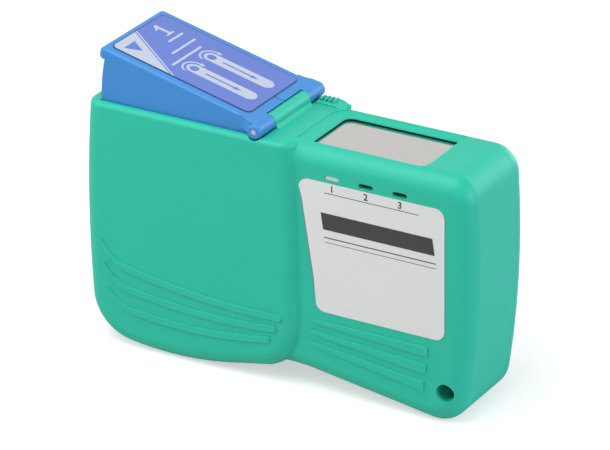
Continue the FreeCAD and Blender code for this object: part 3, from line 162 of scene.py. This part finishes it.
def moulded(name, colour, shade, rubbed_and_lit, roughness, grain, polish=None):
    """Moulded plastic: a slow drift between two close shades, paler edges that are partly scuffing from use
    and partly a painted highlight, and a fine grain.

    The polish is a middle and a reach in millimetres, around which hands have smoothed the skin."""
    material, wire, shader = bare_material(name)
    place = in_millimetres(wire)
    drift = clouds(wire, place, per_mm=0.035, detail=2.0)
    speckle = clouds(wire, place, per_mm=2.4)
    scuffs = clouds(wire, place, per_mm=0.30, detail=4.0)
    wear_and_highlight = worn(wire, radius=0.0007, gain=4.0) * (0.35 + scuffs)
    skin = mixed(wire, drift, colour, shade)
    # Edges mix towards a paler colour, partly wearing from use and partly a painted highlight.
    feed(shader, "Base Color", mixed(wire, 0.35 * wear_and_highlight, skin, rubbed_and_lit))
    gloss = roughness + swing(speckle, 0.12) + swing(drift, 0.10) + swing(scuffs, 0.08)
    if polish:
        middle, reach = polish
        ends = {0: place, 1: middle}
        away = wire.node("ShaderNodeVectorMath", {"operation": "DISTANCE"}, ends, "Value")
        gloss = gloss - 0.08 * wire.maths("MAXIMUM", 1.0 - away / reach, 0.0)
    feed(shader, "Roughness", gloss - 0.06 * wear_and_highlight)
    feed(shader, "Specular IOR Level", 0.42)
    relief(wire, shader, speckle, depth=0.05, strength=grain)
    return material


def dress(material, *names):
    """Gives a material to CAD nodes."""
    for name in names:
        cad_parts[name].material_slots[0].material = material


case_green = moulded(
    "case_green",
    colour=(0.008, 0.462, 0.318),
    shade=(0.011, 0.482, 0.336),
    rubbed_and_lit=(0.120, 0.600, 0.480),
    roughness=0.47,
    grain=0.42,
    polish=((-30.0, -19.0, 42.0), 48.0),
)
dress(case_green, "front_case")


# Reels: two flanged spools of natural white plastic, moulded smooth, that sit on posts of the front case.
# The winding gear is the same plastic, and drives the used-tape reel through a ratchet.
inner_white = moulded(
    "inner_white",
    colour=(0.700, 0.690, 0.645),
    shade=(0.720, 0.712, 0.670),
    rubbed_and_lit=(0.790, 0.785, 0.760),
    roughness=0.44,
    grain=0.20,
)
dress(inner_white, "take_up_reel", "supply_reel", "winding_gear")


# Rolls: cleaning cloth tape wound flat on each reel, so that its edges show as fine rings on the ends.
# The fresh roll is clean white; the used one has greyed a little.
def axes(wire, place):
    """The three numbers of a place."""
    return [wire.node("ShaderNodeSeparateXYZ", {}, {0: place}, axis) for axis in "XYZ"]


def reach_of(wire, first, second):
    """Length of a line from its parts along two axes."""
    return wire.maths("SQRT", first * first + second * second)


def waves(wire, distance, pitch):
    """A sine wave along a distance, with one pitch in millimetres."""
    return wire.maths("SINE", distance * (2.0 * math.pi / pitch))


def wound(name, middle, colour, soiled):
    """Cloth wound about an axis along Y: rings on the ends, weave round the outside."""
    material, wire, shader = bare_material(name)
    place = in_millimetres(wire)
    x, y, z = axes(wire, place)
    rings = waves(wire, reach_of(wire, x - middle[0], z - middle[1]), pitch=0.42)
    threads = waves(wire, y, pitch=0.34)
    fibres = clouds(wire, place, per_mm=3.0, detail=4.0)
    stains = clouds(wire, place, per_mm=0.16)
    tone = 0.5 + 0.18 * rings + 0.10 * threads + swing(fibres, 0.5) + swing(stains, 0.5)
    clean = wire.maths("MINIMUM", abs(tone), 1.0)
    feed(shader, "Base Color", mixed(wire, clean, soiled, colour))
    feed(shader, "Roughness", 0.88 + swing(fibres, 0.10))
    feed(shader, "Sheen Weight", 0.3)
    relief(wire, shader, 0.6 * rings + 0.3 * threads + fibres, depth=0.10, strength=0.6)
    return material


fresh_cloth = wound(
    "fresh_cloth", middle=(32.0, 31.0), colour=(0.780, 0.775, 0.760), soiled=(0.600, 0.600, 0.595)
)
used_cloth = wound(
    "used_cloth", middle=(-30.0, 31.273), colour=(0.690, 0.680, 0.655), soiled=(0.480, 0.470, 0.450)
)
dress(fresh_cloth, "supply_roll")
dress(used_cloth, "take_up_roll")


# Wiping bed: a white moulded tray under the window, which carries the slotted plate and, at each end,
# a guide roller. All are the reels' plastic; the rollers' pins are drawn steel, pressed in.
def drawn_steel(name, colour, roughness, stretch):
    """Bright steel with fine lines one way, in its gloss and relief."""
    material, wire, shader = bare_material(name)
    place = in_millimetres(wire)
    along = wire.node("ShaderNodeVectorMath", {"operation": "MULTIPLY"}, {0: place, 1: stretch})
    lines = clouds(wire, along, per_mm=1.0)
    tarnish = clouds(wire, place, per_mm=0.25)
    dulled = [0.86 * part for part in colour]
    feed(shader, "Base Color", mixed(wire, 0.6 * tarnish, colour, dulled))
    feed(shader, "Metallic", 1.0)
    feed(shader, "Roughness", roughness + swing(lines, 0.5 * roughness) + 0.06 * tarnish)
    relief(wire, shader, lines, depth=0.01, strength=0.12)
    return material


pin_steel = drawn_steel("pin_steel", colour=(0.640, 0.630, 0.615), roughness=0.24, stretch=(6.0, 0.4, 6.0))
dress(inner_white, "wiping_bed", "slot_plate", "guide_roller_left", "guide_roller_right")
dress(pin_steel, "guide_pin_left", "guide_pin_right")


# Pad: a strip of soft grey rubber in the bed, which presses the tape up against the slots.
# It is moulded with a fine dull skin.
PAD_DARK = (0.060, 0.062, 0.066)
PAD_BLOOM = (0.098, 0.100, 0.104)
material, wire, shader = bare_material("pad_rubber")
place = in_millimetres(wire)
pores = clouds(wire, place, per_mm=3.2)
bloom = clouds(wire, place, per_mm=0.12)
feed(shader, "Base Color", mixed(wire, 0.7 * bloom + 0.3 * pores, PAD_DARK, PAD_BLOOM))
feed(shader, "Roughness", 0.80 + swing(pores, 0.14) - 0.06 * bloom)
relief(wire, shader, pores, depth=0.05, strength=0.5)
dress(material, "wiping_pad")


# Tape: a ribbon of white cleaning cloth, which runs from the fresh roll over both rollers and the pad
# to the used roll. It is woven of fine continuous fibres, and lies stretched.
TAPE_THICK = 0.00024
TAPE_STANDOFF = 0.0004
TAPE_ARC_STEPS = 6
TAPE_THREAD_PITCH = 0.30
TAPE_SHADE = (0.560, 0.560, 0.555)
TAPE_WHITE = (0.800, 0.800, 0.790)
SMOOTH_BELOW = math.radians(40.0)
UPRIGHT = math.pi / 2.0


def round_piece(node):
    """Middle in X and Z, and radius, of a round CAD node whose axis runs along Y."""
    low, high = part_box(node)
    return ((low[0] + high[0]) / 2, (low[2] + high[2]) / 2), (high[0] - low[0]) / 2


def on_round(middle, reach, turn):
    """The point at one angle round a middle, in X and Z."""
    return (middle[0] + reach * math.cos(turn), middle[1] + reach * math.sin(turn))


def lead_off(start, start_reach, end, end_reach):
    """Angle where a straight run leaves one round piece for the next.

    The next piece's reach is negative if the run crosses over to its other side."""
    along = math.atan2(end[1] - start[1], end[0] - start[0])
    return (along - math.acos((start_reach - end_reach) / math.dist(start, end))) % (2.0 * math.pi)


def push_out(x, y, z):
    """Extrudes what is selected by one step."""
    bpy.ops.mesh.extrude_region_move(TRANSFORM_OT_translate={"value": (x, y, z)})


def ribbon(name, route, front, width, thick):
    """A strip of one width that follows a route of X and Z, with its thickness about that line."""
    start_x, start_z = route[0]
    bpy.ops.mesh.primitive_plane_add(size=width, location=(start_x, front + width / 2, start_z))
    strip = bpy.context.object
    strip.name = name
    bpy.ops.object.mode_set(mode="EDIT")
    bpy.ops.mesh.select_all(action="SELECT")
    bpy.ops.transform.resize(value=(0.0, 1.0, 1.0))
    bpy.ops.mesh.remove_doubles(threshold=0.0001)
    bpy.ops.mesh.select_mode(type="EDGE")
    bpy.ops.mesh.select_all(action="SELECT")
    for (near_x, near_z), (far_x, far_z) in zip(route, route[1:]):
        push_out(far_x - near_x, 0.0, far_z - near_z)
    bpy.ops.mesh.select_all(action="SELECT")
    bpy.ops.mesh.subdivide(number_cuts=1)
    bpy.ops.mesh.normals_make_consistent(inside=False)
    bpy.ops.object.mode_set(mode="OBJECT")
    wall = strip.modifiers.new("thickness", "SOLIDIFY")
    wall.thickness = thick
    wall.offset = 0.0
    bpy.ops.object.modifier_apply(modifier="thickness")
    bpy.ops.object.shade_smooth_by_angle(angle=SMOOTH_BELOW)
    return strip


def finish_piece(piece, body, material):
    """Puts a piece's place in its mesh and hands it to its body, slot and material."""
    bpy.ops.object.select_all(action="DESELECT")
    piece.select_set(True)
    bpy.context.view_layer.objects.active = piece
    bpy.ops.object.transform_apply(location=True, rotation=True, scale=True)
    piece.data.materials.clear()
    piece.data.materials.append(material)
    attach(piece, body)
    piece.select_set(False)


fresh, fresh_radius = round_piece("supply_roll")
used, used_radius = round_piece("take_up_roll")
left_roller, roller_radius = round_piece("guide_roller_left")
right_roller = round_piece("guide_roller_right")[0]
fresh_reach, used_reach, roller_reach = (
    radius + TAPE_STANDOFF for radius in (fresh_radius, used_radius, roller_radius)
)
first_turn = lead_off(fresh, fresh_reach, right_roller, roller_reach) - 2.0 * math.pi
last_turn = lead_off(left_roller, roller_reach, used, -used_reach)
tape_route = [on_round(fresh, fresh_reach, first_turn)]
roller_turns = ((right_roller, first_turn, UPRIGHT), (left_roller, UPRIGHT, last_turn))
for middle, begin, end in roller_turns:
    for count in range(TAPE_ARC_STEPS + 1):
        turn = begin + (end - begin) * count / TAPE_ARC_STEPS
        tape_route.append(on_round(middle, roller_reach, turn))
tape_route.append(on_round(used, -used_reach, last_turn))
span_low, span_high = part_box("tape_span")
tape_width = span_high[1] - span_low[1]
tape = ribbon("cloth_tape", tape_route, span_low[1], tape_width, TAPE_THICK)

material, wire, shader = bare_material("tape_cloth")
place = in_millimetres(wire)
x, y, z = axes(wire, place)
warp = waves(wire, y, TAPE_THREAD_PITCH)
weft = waves(wire, x + z, TAPE_THREAD_PITCH)
weave = 0.5 + 0.5 * warp * weft
lint = clouds(wire, place, per_mm=2.5, detail=4.0)
feed(shader, "Base Color", mixed(wire, 0.6 * weave + 0.4 * lint, TAPE_SHADE, TAPE_WHITE))
feed(shader, "Roughness", 0.86 + swing(lint, 0.12))
feed(shader, "Sheen Weight", 0.35)
relief(wire, shader, weave + 0.6 * lint, depth=0.12, strength=0.7)
finish_piece(tape, "base", material)
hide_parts("tape_span")


# Type tab: a chip of clear, slightly blue plastic behind the first slot of the front, with a nose that
# fills the slot nearly to its face. It is moulded, and its colour is painted paler than the plastic, as
# painted light that stands in for light passing through the clear chip.
TAB_NOSE = (0.00455, 0.00135)
TAB_NOSE_ROUND = 0.00058
TAB_NOSE_FRONT = -0.01662
TAB_BLUE = (0.520, 0.640, 0.690)
TAB_HAZE = (0.640, 0.740, 0.780)


def soft_edges(piece, width, sharper_than):
    """Rounds every edge of a piece that is sharper than an angle."""
    edge = piece.modifiers.new("edge", "BEVEL")
    edge.width = width
    edge.segments = 2
    edge.limit_method = "ANGLE"
    edge.angle_limit = math.radians(sharper_than)
    bpy.ops.object.modifier_apply(modifier="edge")


tab_low, tab_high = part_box("type_tab")
tab_x = (tab_low[0] + tab_high[0]) / 2
tab_z = (tab_low[2] + tab_high[2]) / 2
nose_middle = (tab_x, TAB_NOSE_FRONT, tab_z)
flange_middle = (tab_x, tab_low[1], tab_z)
flange_wider = (tab_high[0] - tab_low[0]) / TAB_NOSE[0]
flange_taller = (tab_high[2] - tab_low[2]) / TAB_NOSE[1]
bpy.ops.mesh.primitive_plane_add(size=1.0, location=nose_middle)
tab = bpy.context.object
tab.name = "clear_tab"
bpy.ops.object.mode_set(mode="EDIT")
bpy.ops.mesh.select_all(action="SELECT")
bpy.ops.transform.rotate(value=UPRIGHT, orient_axis="X", center_override=nose_middle)
bpy.ops.transform.resize(value=(TAB_NOSE[0], 1.0, TAB_NOSE[1]), center_override=nose_middle)
bpy.ops.mesh.bevel(offset=TAB_NOSE_ROUND, segments=5, affect="VERTICES")
bpy.ops.mesh.select_all(action="SELECT")
push_out(0.0, tab_low[1] - TAB_NOSE_FRONT, 0.0)
push_out(0.0, 0.0, 0.0)
bpy.ops.transform.resize(value=(flange_wider, 1.0, flange_taller), center_override=flange_middle)
push_out(0.0, tab_high[1] - tab_low[1], 0.0)
bpy.ops.mesh.select_all(action="SELECT")
bpy.ops.mesh.normals_make_consistent(inside=False)
bpy.ops.object.mode_set(mode="OBJECT")
soft_edges(tab, width=0.0001, sharper_than=50.0)
bpy.ops.object.shade_smooth_by_angle(angle=SMOOTH_BELOW)

material, wire, shader = bare_material("clear_tab")
place = in_millimetres(wire)
haze = clouds(wire, place, per_mm=1.2)
# The chip's colour is painted pale, as painted light that stands in for light passing through the clear
# plastic.
feed(shader, "Base Color", mixed(wire, haze, TAB_BLUE, TAB_HAZE))
feed(shader, "Roughness", 0.16 + 0.14 * haze)
feed(shader, "Coat Weight", 0.3 + 0.3 * haze)
relief(wire, shader, haze, depth=0.03, strength=0.2)
finish_piece(tab, "base", material)
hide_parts("type_tab")


# Shutter: a mirror-polished steel plate that slides under the window, with a rack along its front edge.
# The polish runs along its length and leaves it faintly streaked.
shutter_steel = drawn_steel(
    "shutter_steel", colour=(0.575, 0.560, 0.540), roughness=0.045, stretch=(0.12, 7.0, 7.0)
)
dress(shutter_steel, "shutter")


# Drive: a white moulded gear between the lever and the shutter's rack.
# It turns on a post of the front case, under a steel clip.
dress(inner_white, "drive_gear")
dress(pin_steel, "gear_clip")


# Return spring: a strip of blued spring steel that lies on a shelf of the case, bends back on itself and
# lifts the lever again. Here it is one fixed shape, though the real spring flattens as the lever goes down.
LEAF_THICK = 0.00036
LEAF_FOOT = 0.0090
LEAF_BEND_RISE = 0.0040
LEAF_BEND_RADIUS = 0.0040
LEAF_BEND_SWEEP = 72.0
LEAF_BEND_STEPS = 12
LEAF_TIP_GAP = (0.0004, 0.0003)
leaf_low, leaf_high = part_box("return_spring")
bend = (leaf_low[0] + LEAF_THICK / 2 + LEAF_BEND_RADIUS, leaf_low[2] + LEAF_BEND_RISE)
leaf_route = []
for count in range(LEAF_BEND_STEPS + 1):
    turn = math.radians(180.0 + LEAF_BEND_SWEEP * (1.0 - 2.0 * count / LEAF_BEND_STEPS))
    leaf_route.append(on_round(bend, LEAF_BEND_RADIUS, turn))
foot_x, foot_z = leaf_route[0]
leaf_route.insert(0, (foot_x + LEAF_FOOT, foot_z))
leaf_route.append((leaf_high[0] - LEAF_TIP_GAP[0], leaf_high[2] - LEAF_TIP_GAP[1]))
leaf = ribbon("leaf_spring", leaf_route, leaf_low[1], leaf_high[1] - leaf_low[1], LEAF_THICK)
soft_edges(leaf, width=0.00008, sharper_than=60.0)
spring_steel = drawn_steel(
    "spring_steel", colour=(0.330, 0.350, 0.400), roughness=0.30, stretch=(0.4, 6.0, 0.4)
)
finish_piece(leaf, "base", spring_steel)
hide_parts("return_spring")
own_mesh(leaf)


# Rear cover: the other half of the case, in the same green and the same mould finish.
# It pushes on from behind, and its edge shows as a fine line round the ends and the top.
dress(case_green, "rear_cover")


# Push lever: a blue moulding on a steel pin, pressed with the thumb at its raised end.
# Its skin is a little smoother than the case's, and thumbs have polished the end they press.
lever_blue = moulded(
    "lever_blue",
    colour=(0.034, 0.222, 0.566),
    shade=(0.038, 0.236, 0.588),
    rubbed_and_lit=(0.180, 0.400, 0.720),
    roughness=0.42,
    grain=0.30,
    polish=((-57.0, 0.0, 92.0), 30.0),
)
dress(lever_blue, "push_lever")
dress(pin_steel, "hinge_pin")


# Lever label: a violet film with a pale print, stuck into a shallow recess of the lever's top.
# The print is plain shapes: a pale corner where the thumb goes, a number's foot and flag, three bars
# and two wiping strokes with arrows. Its places are millimetres from the hinge, and in Y. A dark line
# round the film's border is painted shadow of a recess step.
HINGE = (-6.0, 79.2)
LEVER_TILT = math.radians(13.5)
FILM_MIDDLE = 28.65
FILM_HALVES = (23.95, 14.35)
FILM_CORNER = 2.0
FILM_SHADOW_WIDTH = 0.34
CORNER_POINT = (52.5, -0.4)
CORNER_LEAN = (0.5265, 0.8502)
CORNER_LINE = (0.5, 0.95)
THUMB_TIP = 44.6
THUMB_BASE = 49.4
THUMB_MIDDLE = -9.2
THUMB_SPREAD = 0.62
BAR_WIDTH = 0.8
BARS = ((42.0, 1.6, 9.4), (37.6, -3.6, 9.4), (34.0, -9.2, 6.9))
FOOT = (44.4, 45.1, 4.3, 8.1)
FLAG = (48.3, 50.0)
FLAG_SLANT = (-44.5, -43.3)
FLAG_END = 6.2
STROKE_LINES = (4.2, -5.5)
STROKE_RING = 29.0
STROKE_ROUND = 10.1
STROKE_HALF = 2.42
RING_HOLE = 1.45
ARROW_SHAFT = (14.6, 25.2)
ARROW_SHAFT_HALF = 0.36
ARROW_HEAD = (12.8, 15.2)
ARROW_SPREAD = 0.38
BEND_REACH = (3.25, 3.85)
BEND_BACK = 0.4
BEND_SIDE = 3.2
TIP_SIDE = 3.55
TIP_LENGTH = 1.6
TIP_SPREAD = 0.55


def between(value, low, high):
    """One where a value is between two limits, and nothing elsewhere."""
    return (value > low) * (value < high)


def either(wire, *shares):
    """The greatest of several shares."""
    greatest = shares[0]
    for share in shares[1:]:
        greatest = wire.maths("MAXIMUM", greatest, share)
    return greatest


def film_edge(wire, along, across):
    """Painted shadow: a dark line of one width round the inside of the film, a rectangle with round
    corners.
    """
    past_along = abs(along) - (FILM_HALVES[0] - FILM_CORNER)
    past_across = abs(across) - (FILM_HALVES[1] - FILM_CORNER)
    out_along = wire.maths("MAXIMUM", past_along, 0.0)
    out_across = wire.maths("MAXIMUM", past_across, 0.0)
    inner = wire.maths("MINIMUM", wire.maths("MAXIMUM", past_along, past_across), 0.0)
    return (reach_of(wire, out_along, out_across) + inner) > FILM_CORNER - FILM_SHADOW_WIDTH


def wiping_stroke(wire, along, across, line):
    """A pale rounded bar with a ring at one end, a bent arrow round that, and an arrow down its middle."""
    off_line = across - line
    nearest = wire.maths("MINIMUM", wire.maths("MAXIMUM", along, STROKE_ROUND), STROKE_RING)
    bar = reach_of(wire, along - nearest, off_line) < STROKE_HALF
    from_ring = reach_of(wire, along - STROKE_RING, off_line)
    hole = from_ring < RING_HOLE
    shaft = between(along, *ARROW_SHAFT) * (abs(off_line) < ARROW_SHAFT_HALF)
    head = between(along, *ARROW_HEAD) * (abs(off_line) < ARROW_SPREAD * (along - ARROW_HEAD[0]))
    bend = between(from_ring, *BEND_REACH) * (along > STROKE_RING - BEND_BACK) * (across > line - BEND_SIDE)
    tip_start = STROKE_RING - TIP_LENGTH
    tip_half = TIP_SPREAD * (along - tip_start)
    tip = between(along, tip_start, STROKE_RING) * (abs(off_line - TIP_SIDE) < tip_half)
    return either(wire, bar * (1.0 - either(wire, hole, shaft, head)), bend, tip)


material, wire, shader = bare_material("lever_film")
place = in_millimetres(wire)
x, y, z = axes(wire, place)
from_hinge = (z - HINGE[1]) * math.sin(LEVER_TILT) - (x - HINGE[0]) * math.cos(LEVER_TILT)
past_corner = CORNER_LEAN[0] * (from_hinge - CORNER_POINT[0]) - CORNER_LEAN[1] * (y - CORNER_POINT[1])
corner = (past_corner > 0.0) * (1.0 - between(past_corner, *CORNER_LINE))
thumb_half = THUMB_SPREAD * (from_hinge - THUMB_TIP)
thumb_mark = between(from_hinge, THUMB_TIP, THUMB_BASE) * (abs(y - THUMB_MIDDLE) < thumb_half)
bars = [
    between(from_hinge, start, start + BAR_WIDTH) * between(y, near, far) for start, near, far in BARS
]
number_foot = between(from_hinge, *FOOT[:2]) * between(y, *FOOT[2:])
number_flag = between(from_hinge, *FLAG) * between(y - from_hinge, *FLAG_SLANT) * (y < FLAG_END)
strokes = [wiping_stroke(wire, from_hinge, y, line) for line in STROKE_LINES]
print_share = either(wire, corner * (1.0 - thumb_mark), *bars, number_foot, number_flag, *strokes)
painted_shadow_share = film_edge(wire, from_hinge - FILM_MIDDLE, y)
drift = clouds(wire, place, per_mm=0.06, detail=2.0)
fleck = clouds(wire, place, per_mm=4.0)
violet = mixed(wire, drift, (0.079, 0.147, 0.506), (0.093, 0.163, 0.532))
pale = mixed(wire, fleck, (0.438, 0.500, 0.598), (0.474, 0.533, 0.626))
printed = mixed(wire, print_share, violet, pale)
# The film's border is painted dark here, as painted shadow of a recess step round the film.
feed(shader, "Base Color", mixed(wire, painted_shadow_share, printed, (0.020, 0.050, 0.200)))
feed(shader, "Roughness", 0.36 + swing(fleck, 0.10) + 0.06 * print_share)
feed(shader, "Coat Weight", 0.12 + 0.10 * drift)
relief(wire, shader, 0.5 * print_share + 0.4 * fleck, depth=0.02, strength=0.25)
dress(material, "lever_label")


# Front label: a white film with a matt skin, stuck into the recess of the block's front.
# Its print is a thin rule under the numbers, with a dark band and two fine rules below. A grey-green line
# down its slanting left side, which tapers off towards both corners, is painted shade of the recess edge.
RULE_ENDS = (16.2, 46.8)
RULE_RISE = (64.55, 64.78)
BAND_ENDS = (15.6, 51.8)
BAND_RISE = (53.2, 58.4)
BAND_LEAN = 0.16
BAND_LEVEL = 55.0
FINE_RULES = ((50.6, 50.95), (49.2, 49.4))
SIDE_POINT = (7.3, 67.8)
SIDE_LEAN = (0.9867, 0.162)
SIDE_SHADE_WIDTH = 0.55
SIDE_FOOT = (29.5, 8.0)
SIDE_HEAD = (66.5, 5.0)
material, wire, shader = bare_material("front_film")
place = in_millimetres(wire)
x, y, z = axes(wire, place)
thin_rule = between(x, *RULE_ENDS) * between(z, *RULE_RISE)
leaning = between(x + BAND_LEAN * (z - BAND_LEVEL), *BAND_ENDS)
fine_rules = either(wire, *(between(z, *rise) for rise in FINE_RULES))
print_share = either(wire, thin_rule, leaning * between(z, *BAND_RISE), leaning * fine_rules)
from_foot = (z - SIDE_FOOT[0]) / SIDE_FOOT[1]
from_head = (SIDE_HEAD[0] - z) / SIDE_HEAD[1]
taper = wire.maths("MINIMUM", wire.maths("MINIMUM", from_foot, from_head), 1.0)
from_shaded_side = SIDE_LEAN[0] * (x - SIDE_POINT[0]) + SIDE_LEAN[1] * (z - SIDE_POINT[1])
drift = clouds(wire, place, per_mm=0.05, detail=2.0)
fleck = clouds(wire, place, per_mm=3.5)
white = mixed(wire, 0.5 * drift + 0.5 * fleck, (0.680, 0.680, 0.670), (0.720, 0.720, 0.712))
black = mixed(wire, fleck, (0.026, 0.026, 0.030), (0.040, 0.040, 0.045))
printed = mixed(wire, print_share, white, black)
# The slanting left side is painted grey-green over a tapering width, as painted shade of the recess edge.
feed(shader, "Base Color", mixed(wire, from_shaded_side < SIDE_SHADE_WIDTH * taper, printed, (0.100, 0.270, 0.290)))
feed(shader, "Roughness", 0.48 + swing(fleck, 0.12) - 0.06 * print_share)
relief(wire, shader, 0.5 * print_share + 0.5 * fleck, depth=0.02, strength=0.25)
dress(material, "front_label")


# Numbers: printed on the films in plain ink, one on the lever and three under the slots of the front.
# Each is a thin figure of dull ink, a hair above its film.
INK_LIFT = 0.00002
INK_HALF = 0.00001
FIGURE_SHARE = 0.70
FIGURE_WEIGHT = 0.03
LEVER_NUMBER_PLACE = (-0.0472, 0.0062)
LEVER_NUMBER_HEIGHT = 0.0056
SLOT_NUMBERS_X = (0.0187, 0.0297, 0.0407)
SLOT_NUMBERS_Z = 0.0662
SLOT_NUMBER_HEIGHT = 0.0020


def ink(name, colour):
    """Dull printing ink, a little uneven in tone and gloss."""
    material, wire, shader = bare_material(name)
    place = in_millimetres(wire)
    patches = clouds(wire, place, per_mm=3.0)
    lighter = [1.25 * part + 0.004 for part in colour]
    feed(shader, "Base Color", mixed(wire, patches, colour, lighter))
    feed(shader, "Roughness", 0.50 + swing(patches, 0.20))
    relief(wire, shader, patches, depth=0.01, strength=0.2)
    return material


def printed_number(name, figure, height, turn, body, material):
    """A plain figure made a mesh and laid on a film."""
    bpy.ops.object.select_all(action="DESELECT")
    bpy.ops.object.text_add()
    text = bpy.context.object
    text.data.body = figure
    text.data.size = height / FIGURE_SHARE
    text.data.align_x = "CENTER"
    text.data.align_y = "CENTER"
    text.data.offset = FIGURE_WEIGHT * height
    text.data.extrude = INK_HALF
    bpy.ops.object.convert(target="MESH")
    number = bpy.context.object
    number.name = name
    bpy.ops.object.mode_set(mode="EDIT")
    bpy.ops.mesh.select_all(action="SELECT")
    bpy.ops.mesh.remove_doubles(threshold=INK_HALF / 10.0)
    bpy.ops.mesh.normals_make_consistent(inside=False)
    bpy.ops.object.mode_set(mode="OBJECT")
    number.matrix_world = turn
    finish_piece(number, body, material)


film_points = [vertex.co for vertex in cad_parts["lever_label"].data.vertices]
hinge_point = Vector((HINGE[0] / 1000.0, 0.0, HINGE[1] / 1000.0))
lever_turn = Matrix.Translation(hinge_point) @ Matrix.Rotation(LEVER_TILT, 4, "Y")
film_top = max((lever_turn.inverted() @ point).z for point in film_points)
lever_place = Matrix.Translation((*LEVER_NUMBER_PLACE, film_top + INK_LIFT))
lever_turn = lever_turn @ lever_place @ Matrix.Rotation(UPRIGHT, 4, "Z")
pale_ink = ink("pale_ink", colour=(0.416, 0.474, 0.562))
printed_number("lever_number", "1", LEVER_NUMBER_HEIGHT, lever_turn, "lever", pale_ink)

dark_ink = ink("dark_ink", colour=(0.030, 0.030, 0.034))
film_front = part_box("front_label")[0][1]
for count, across in enumerate(SLOT_NUMBERS_X, start=1):
    slot_place = Matrix.Translation((across, film_front - INK_LIFT, SLOT_NUMBERS_Z))
    slot_turn = slot_place @ Matrix.Rotation(UPRIGHT, 4, "X")
    name = f"slot_number_{count}"
    printed_number(name, str(count), SLOT_NUMBER_HEIGHT, slot_turn, "base", dark_ink)


# Stage: a plain pale floor under the cassette, in soft light from above, from both sides and behind.
# The camera sees the floor brighter than it is lit, and more so further out, so that it ends in white.
FLOOR_GREY = (0.64, 0.64, 0.64, 1.0)
GLOW_NEAR = (0.52, 0.52, 0.52)
GLOW_FAR = (1.0, 1.0, 1.0)
GLOW_START = 300.0
GLOW_RISE = 700.0
AIR_LIGHT = 0.26
bpy.ops.mesh.primitive_plane_add(size=12.0, location=(0.0, 0.0, 0.0))
floor = bpy.context.object
floor.name = "floor"
material, wire, shader = bare_material("pale_floor")
seen = wire.node("ShaderNodeLightPath", {}, {}, "Is Camera Ray")
away = wire.node("ShaderNodeVectorMath", {"operation": "LENGTH"}, {0: in_millimetres(wire)}, "Value")
rise = wire.maths("MAXIMUM", (away - GLOW_START) / GLOW_RISE, 0.0)
glow = mixed(wire, wire.maths("MINIMUM", rise, 1.0), GLOW_NEAR, GLOW_FAR)
feed(shader, "Base Color", FLOOR_GREY)
feed(shader, "Roughness", 0.9)
feed(shader, "Emission Color", mixed(wire, seen, (0.0, 0.0, 0.0), glow))
feed(shader, "Emission Strength", 1.0)
floor.data.materials.append(material)

world = bpy.data.worlds.new("studio")
bpy.context.scene.world = world
world.use_nodes = True
air = Wire(world.node_tree)
rays = ("Is Camera Ray", "Is Glossy Ray", "Is Transmission Ray")
paths = [air.node("ShaderNodeLightPath", {}, {}, ray) for ray in rays]
backdrop = world.node_tree.nodes["Background"]
feed(backdrop, "Color", (1.0, 1.0, 1.0, 1.0))
feed(backdrop, "Strength", AIR_LIGHT + (1.0 - AIR_LIGHT) * either(air, *paths))


def lamp(name, place, aim, size, watts, colour=(1.0, 1.0, 1.0)):
    """A square soft lamp that faces a point."""
    light = bpy.data.lights.new(name, "AREA")
    light.size = size
    light.energy = watts
    light.color = colour
    made = bpy.data.objects.new(name, light)
    bpy.context.scene.collection.objects.link(made)
    made.location = place
    made.rotation_euler = (Vector(aim) - Vector(place)).to_track_quat("-Z", "Y").to_euler()


COOL = (1.0, 0.98, 1.16)
lamp("top_lamp", (-0.06, -0.22, 0.60), aim=(0.0, 0.0, 0.05), size=0.45, watts=2.75)
lamp("left_lamp", (-0.62, -0.50, 0.34), aim=(0.0, 0.0, 0.05), size=0.45, watts=2.7)
lamp("right_lamp", (1.15, -0.05, 0.40), aim=(0.0, 0.0, 0.04), size=0.6, watts=6.6, colour=COOL)
lamp("back_lamp", (0.30, 1.05, 0.16), aim=(0.0, 0.0, 0.05), size=0.6, watts=5.5)


# Camera: a long lens a little over a metre away, which sees the front, the right end and the top.
# Its angles and aim were fitted to the outline in the photograph.
AZIMUTH = math.radians(29.9)
ELEVATION = math.radians(24.85)
DISTANCE = 1.2
AIM = Vector((0.00942, -0.01617, 0.05267))
level = math.cos(ELEVATION)
toward = Vector((math.sin(AZIMUTH) * level, -math.cos(AZIMUTH) * level, math.sin(ELEVATION)))
eye = bpy.data.cameras.new("eye")
eye.lens = 247.3
eye.sensor_width = 36.0
eye.clip_end = 20.0
camera = bpy.data.objects.new("camera", eye)
bpy.context.scene.collection.objects.link(camera)
camera.location = AIM + DISTANCE * toward
camera.rotation_euler = (-toward).to_track_quat("-Z", "Y").to_euler()
bpy.context.scene.camera = camera
bpy.context.scene.view_settings.view_transform = "Standard"
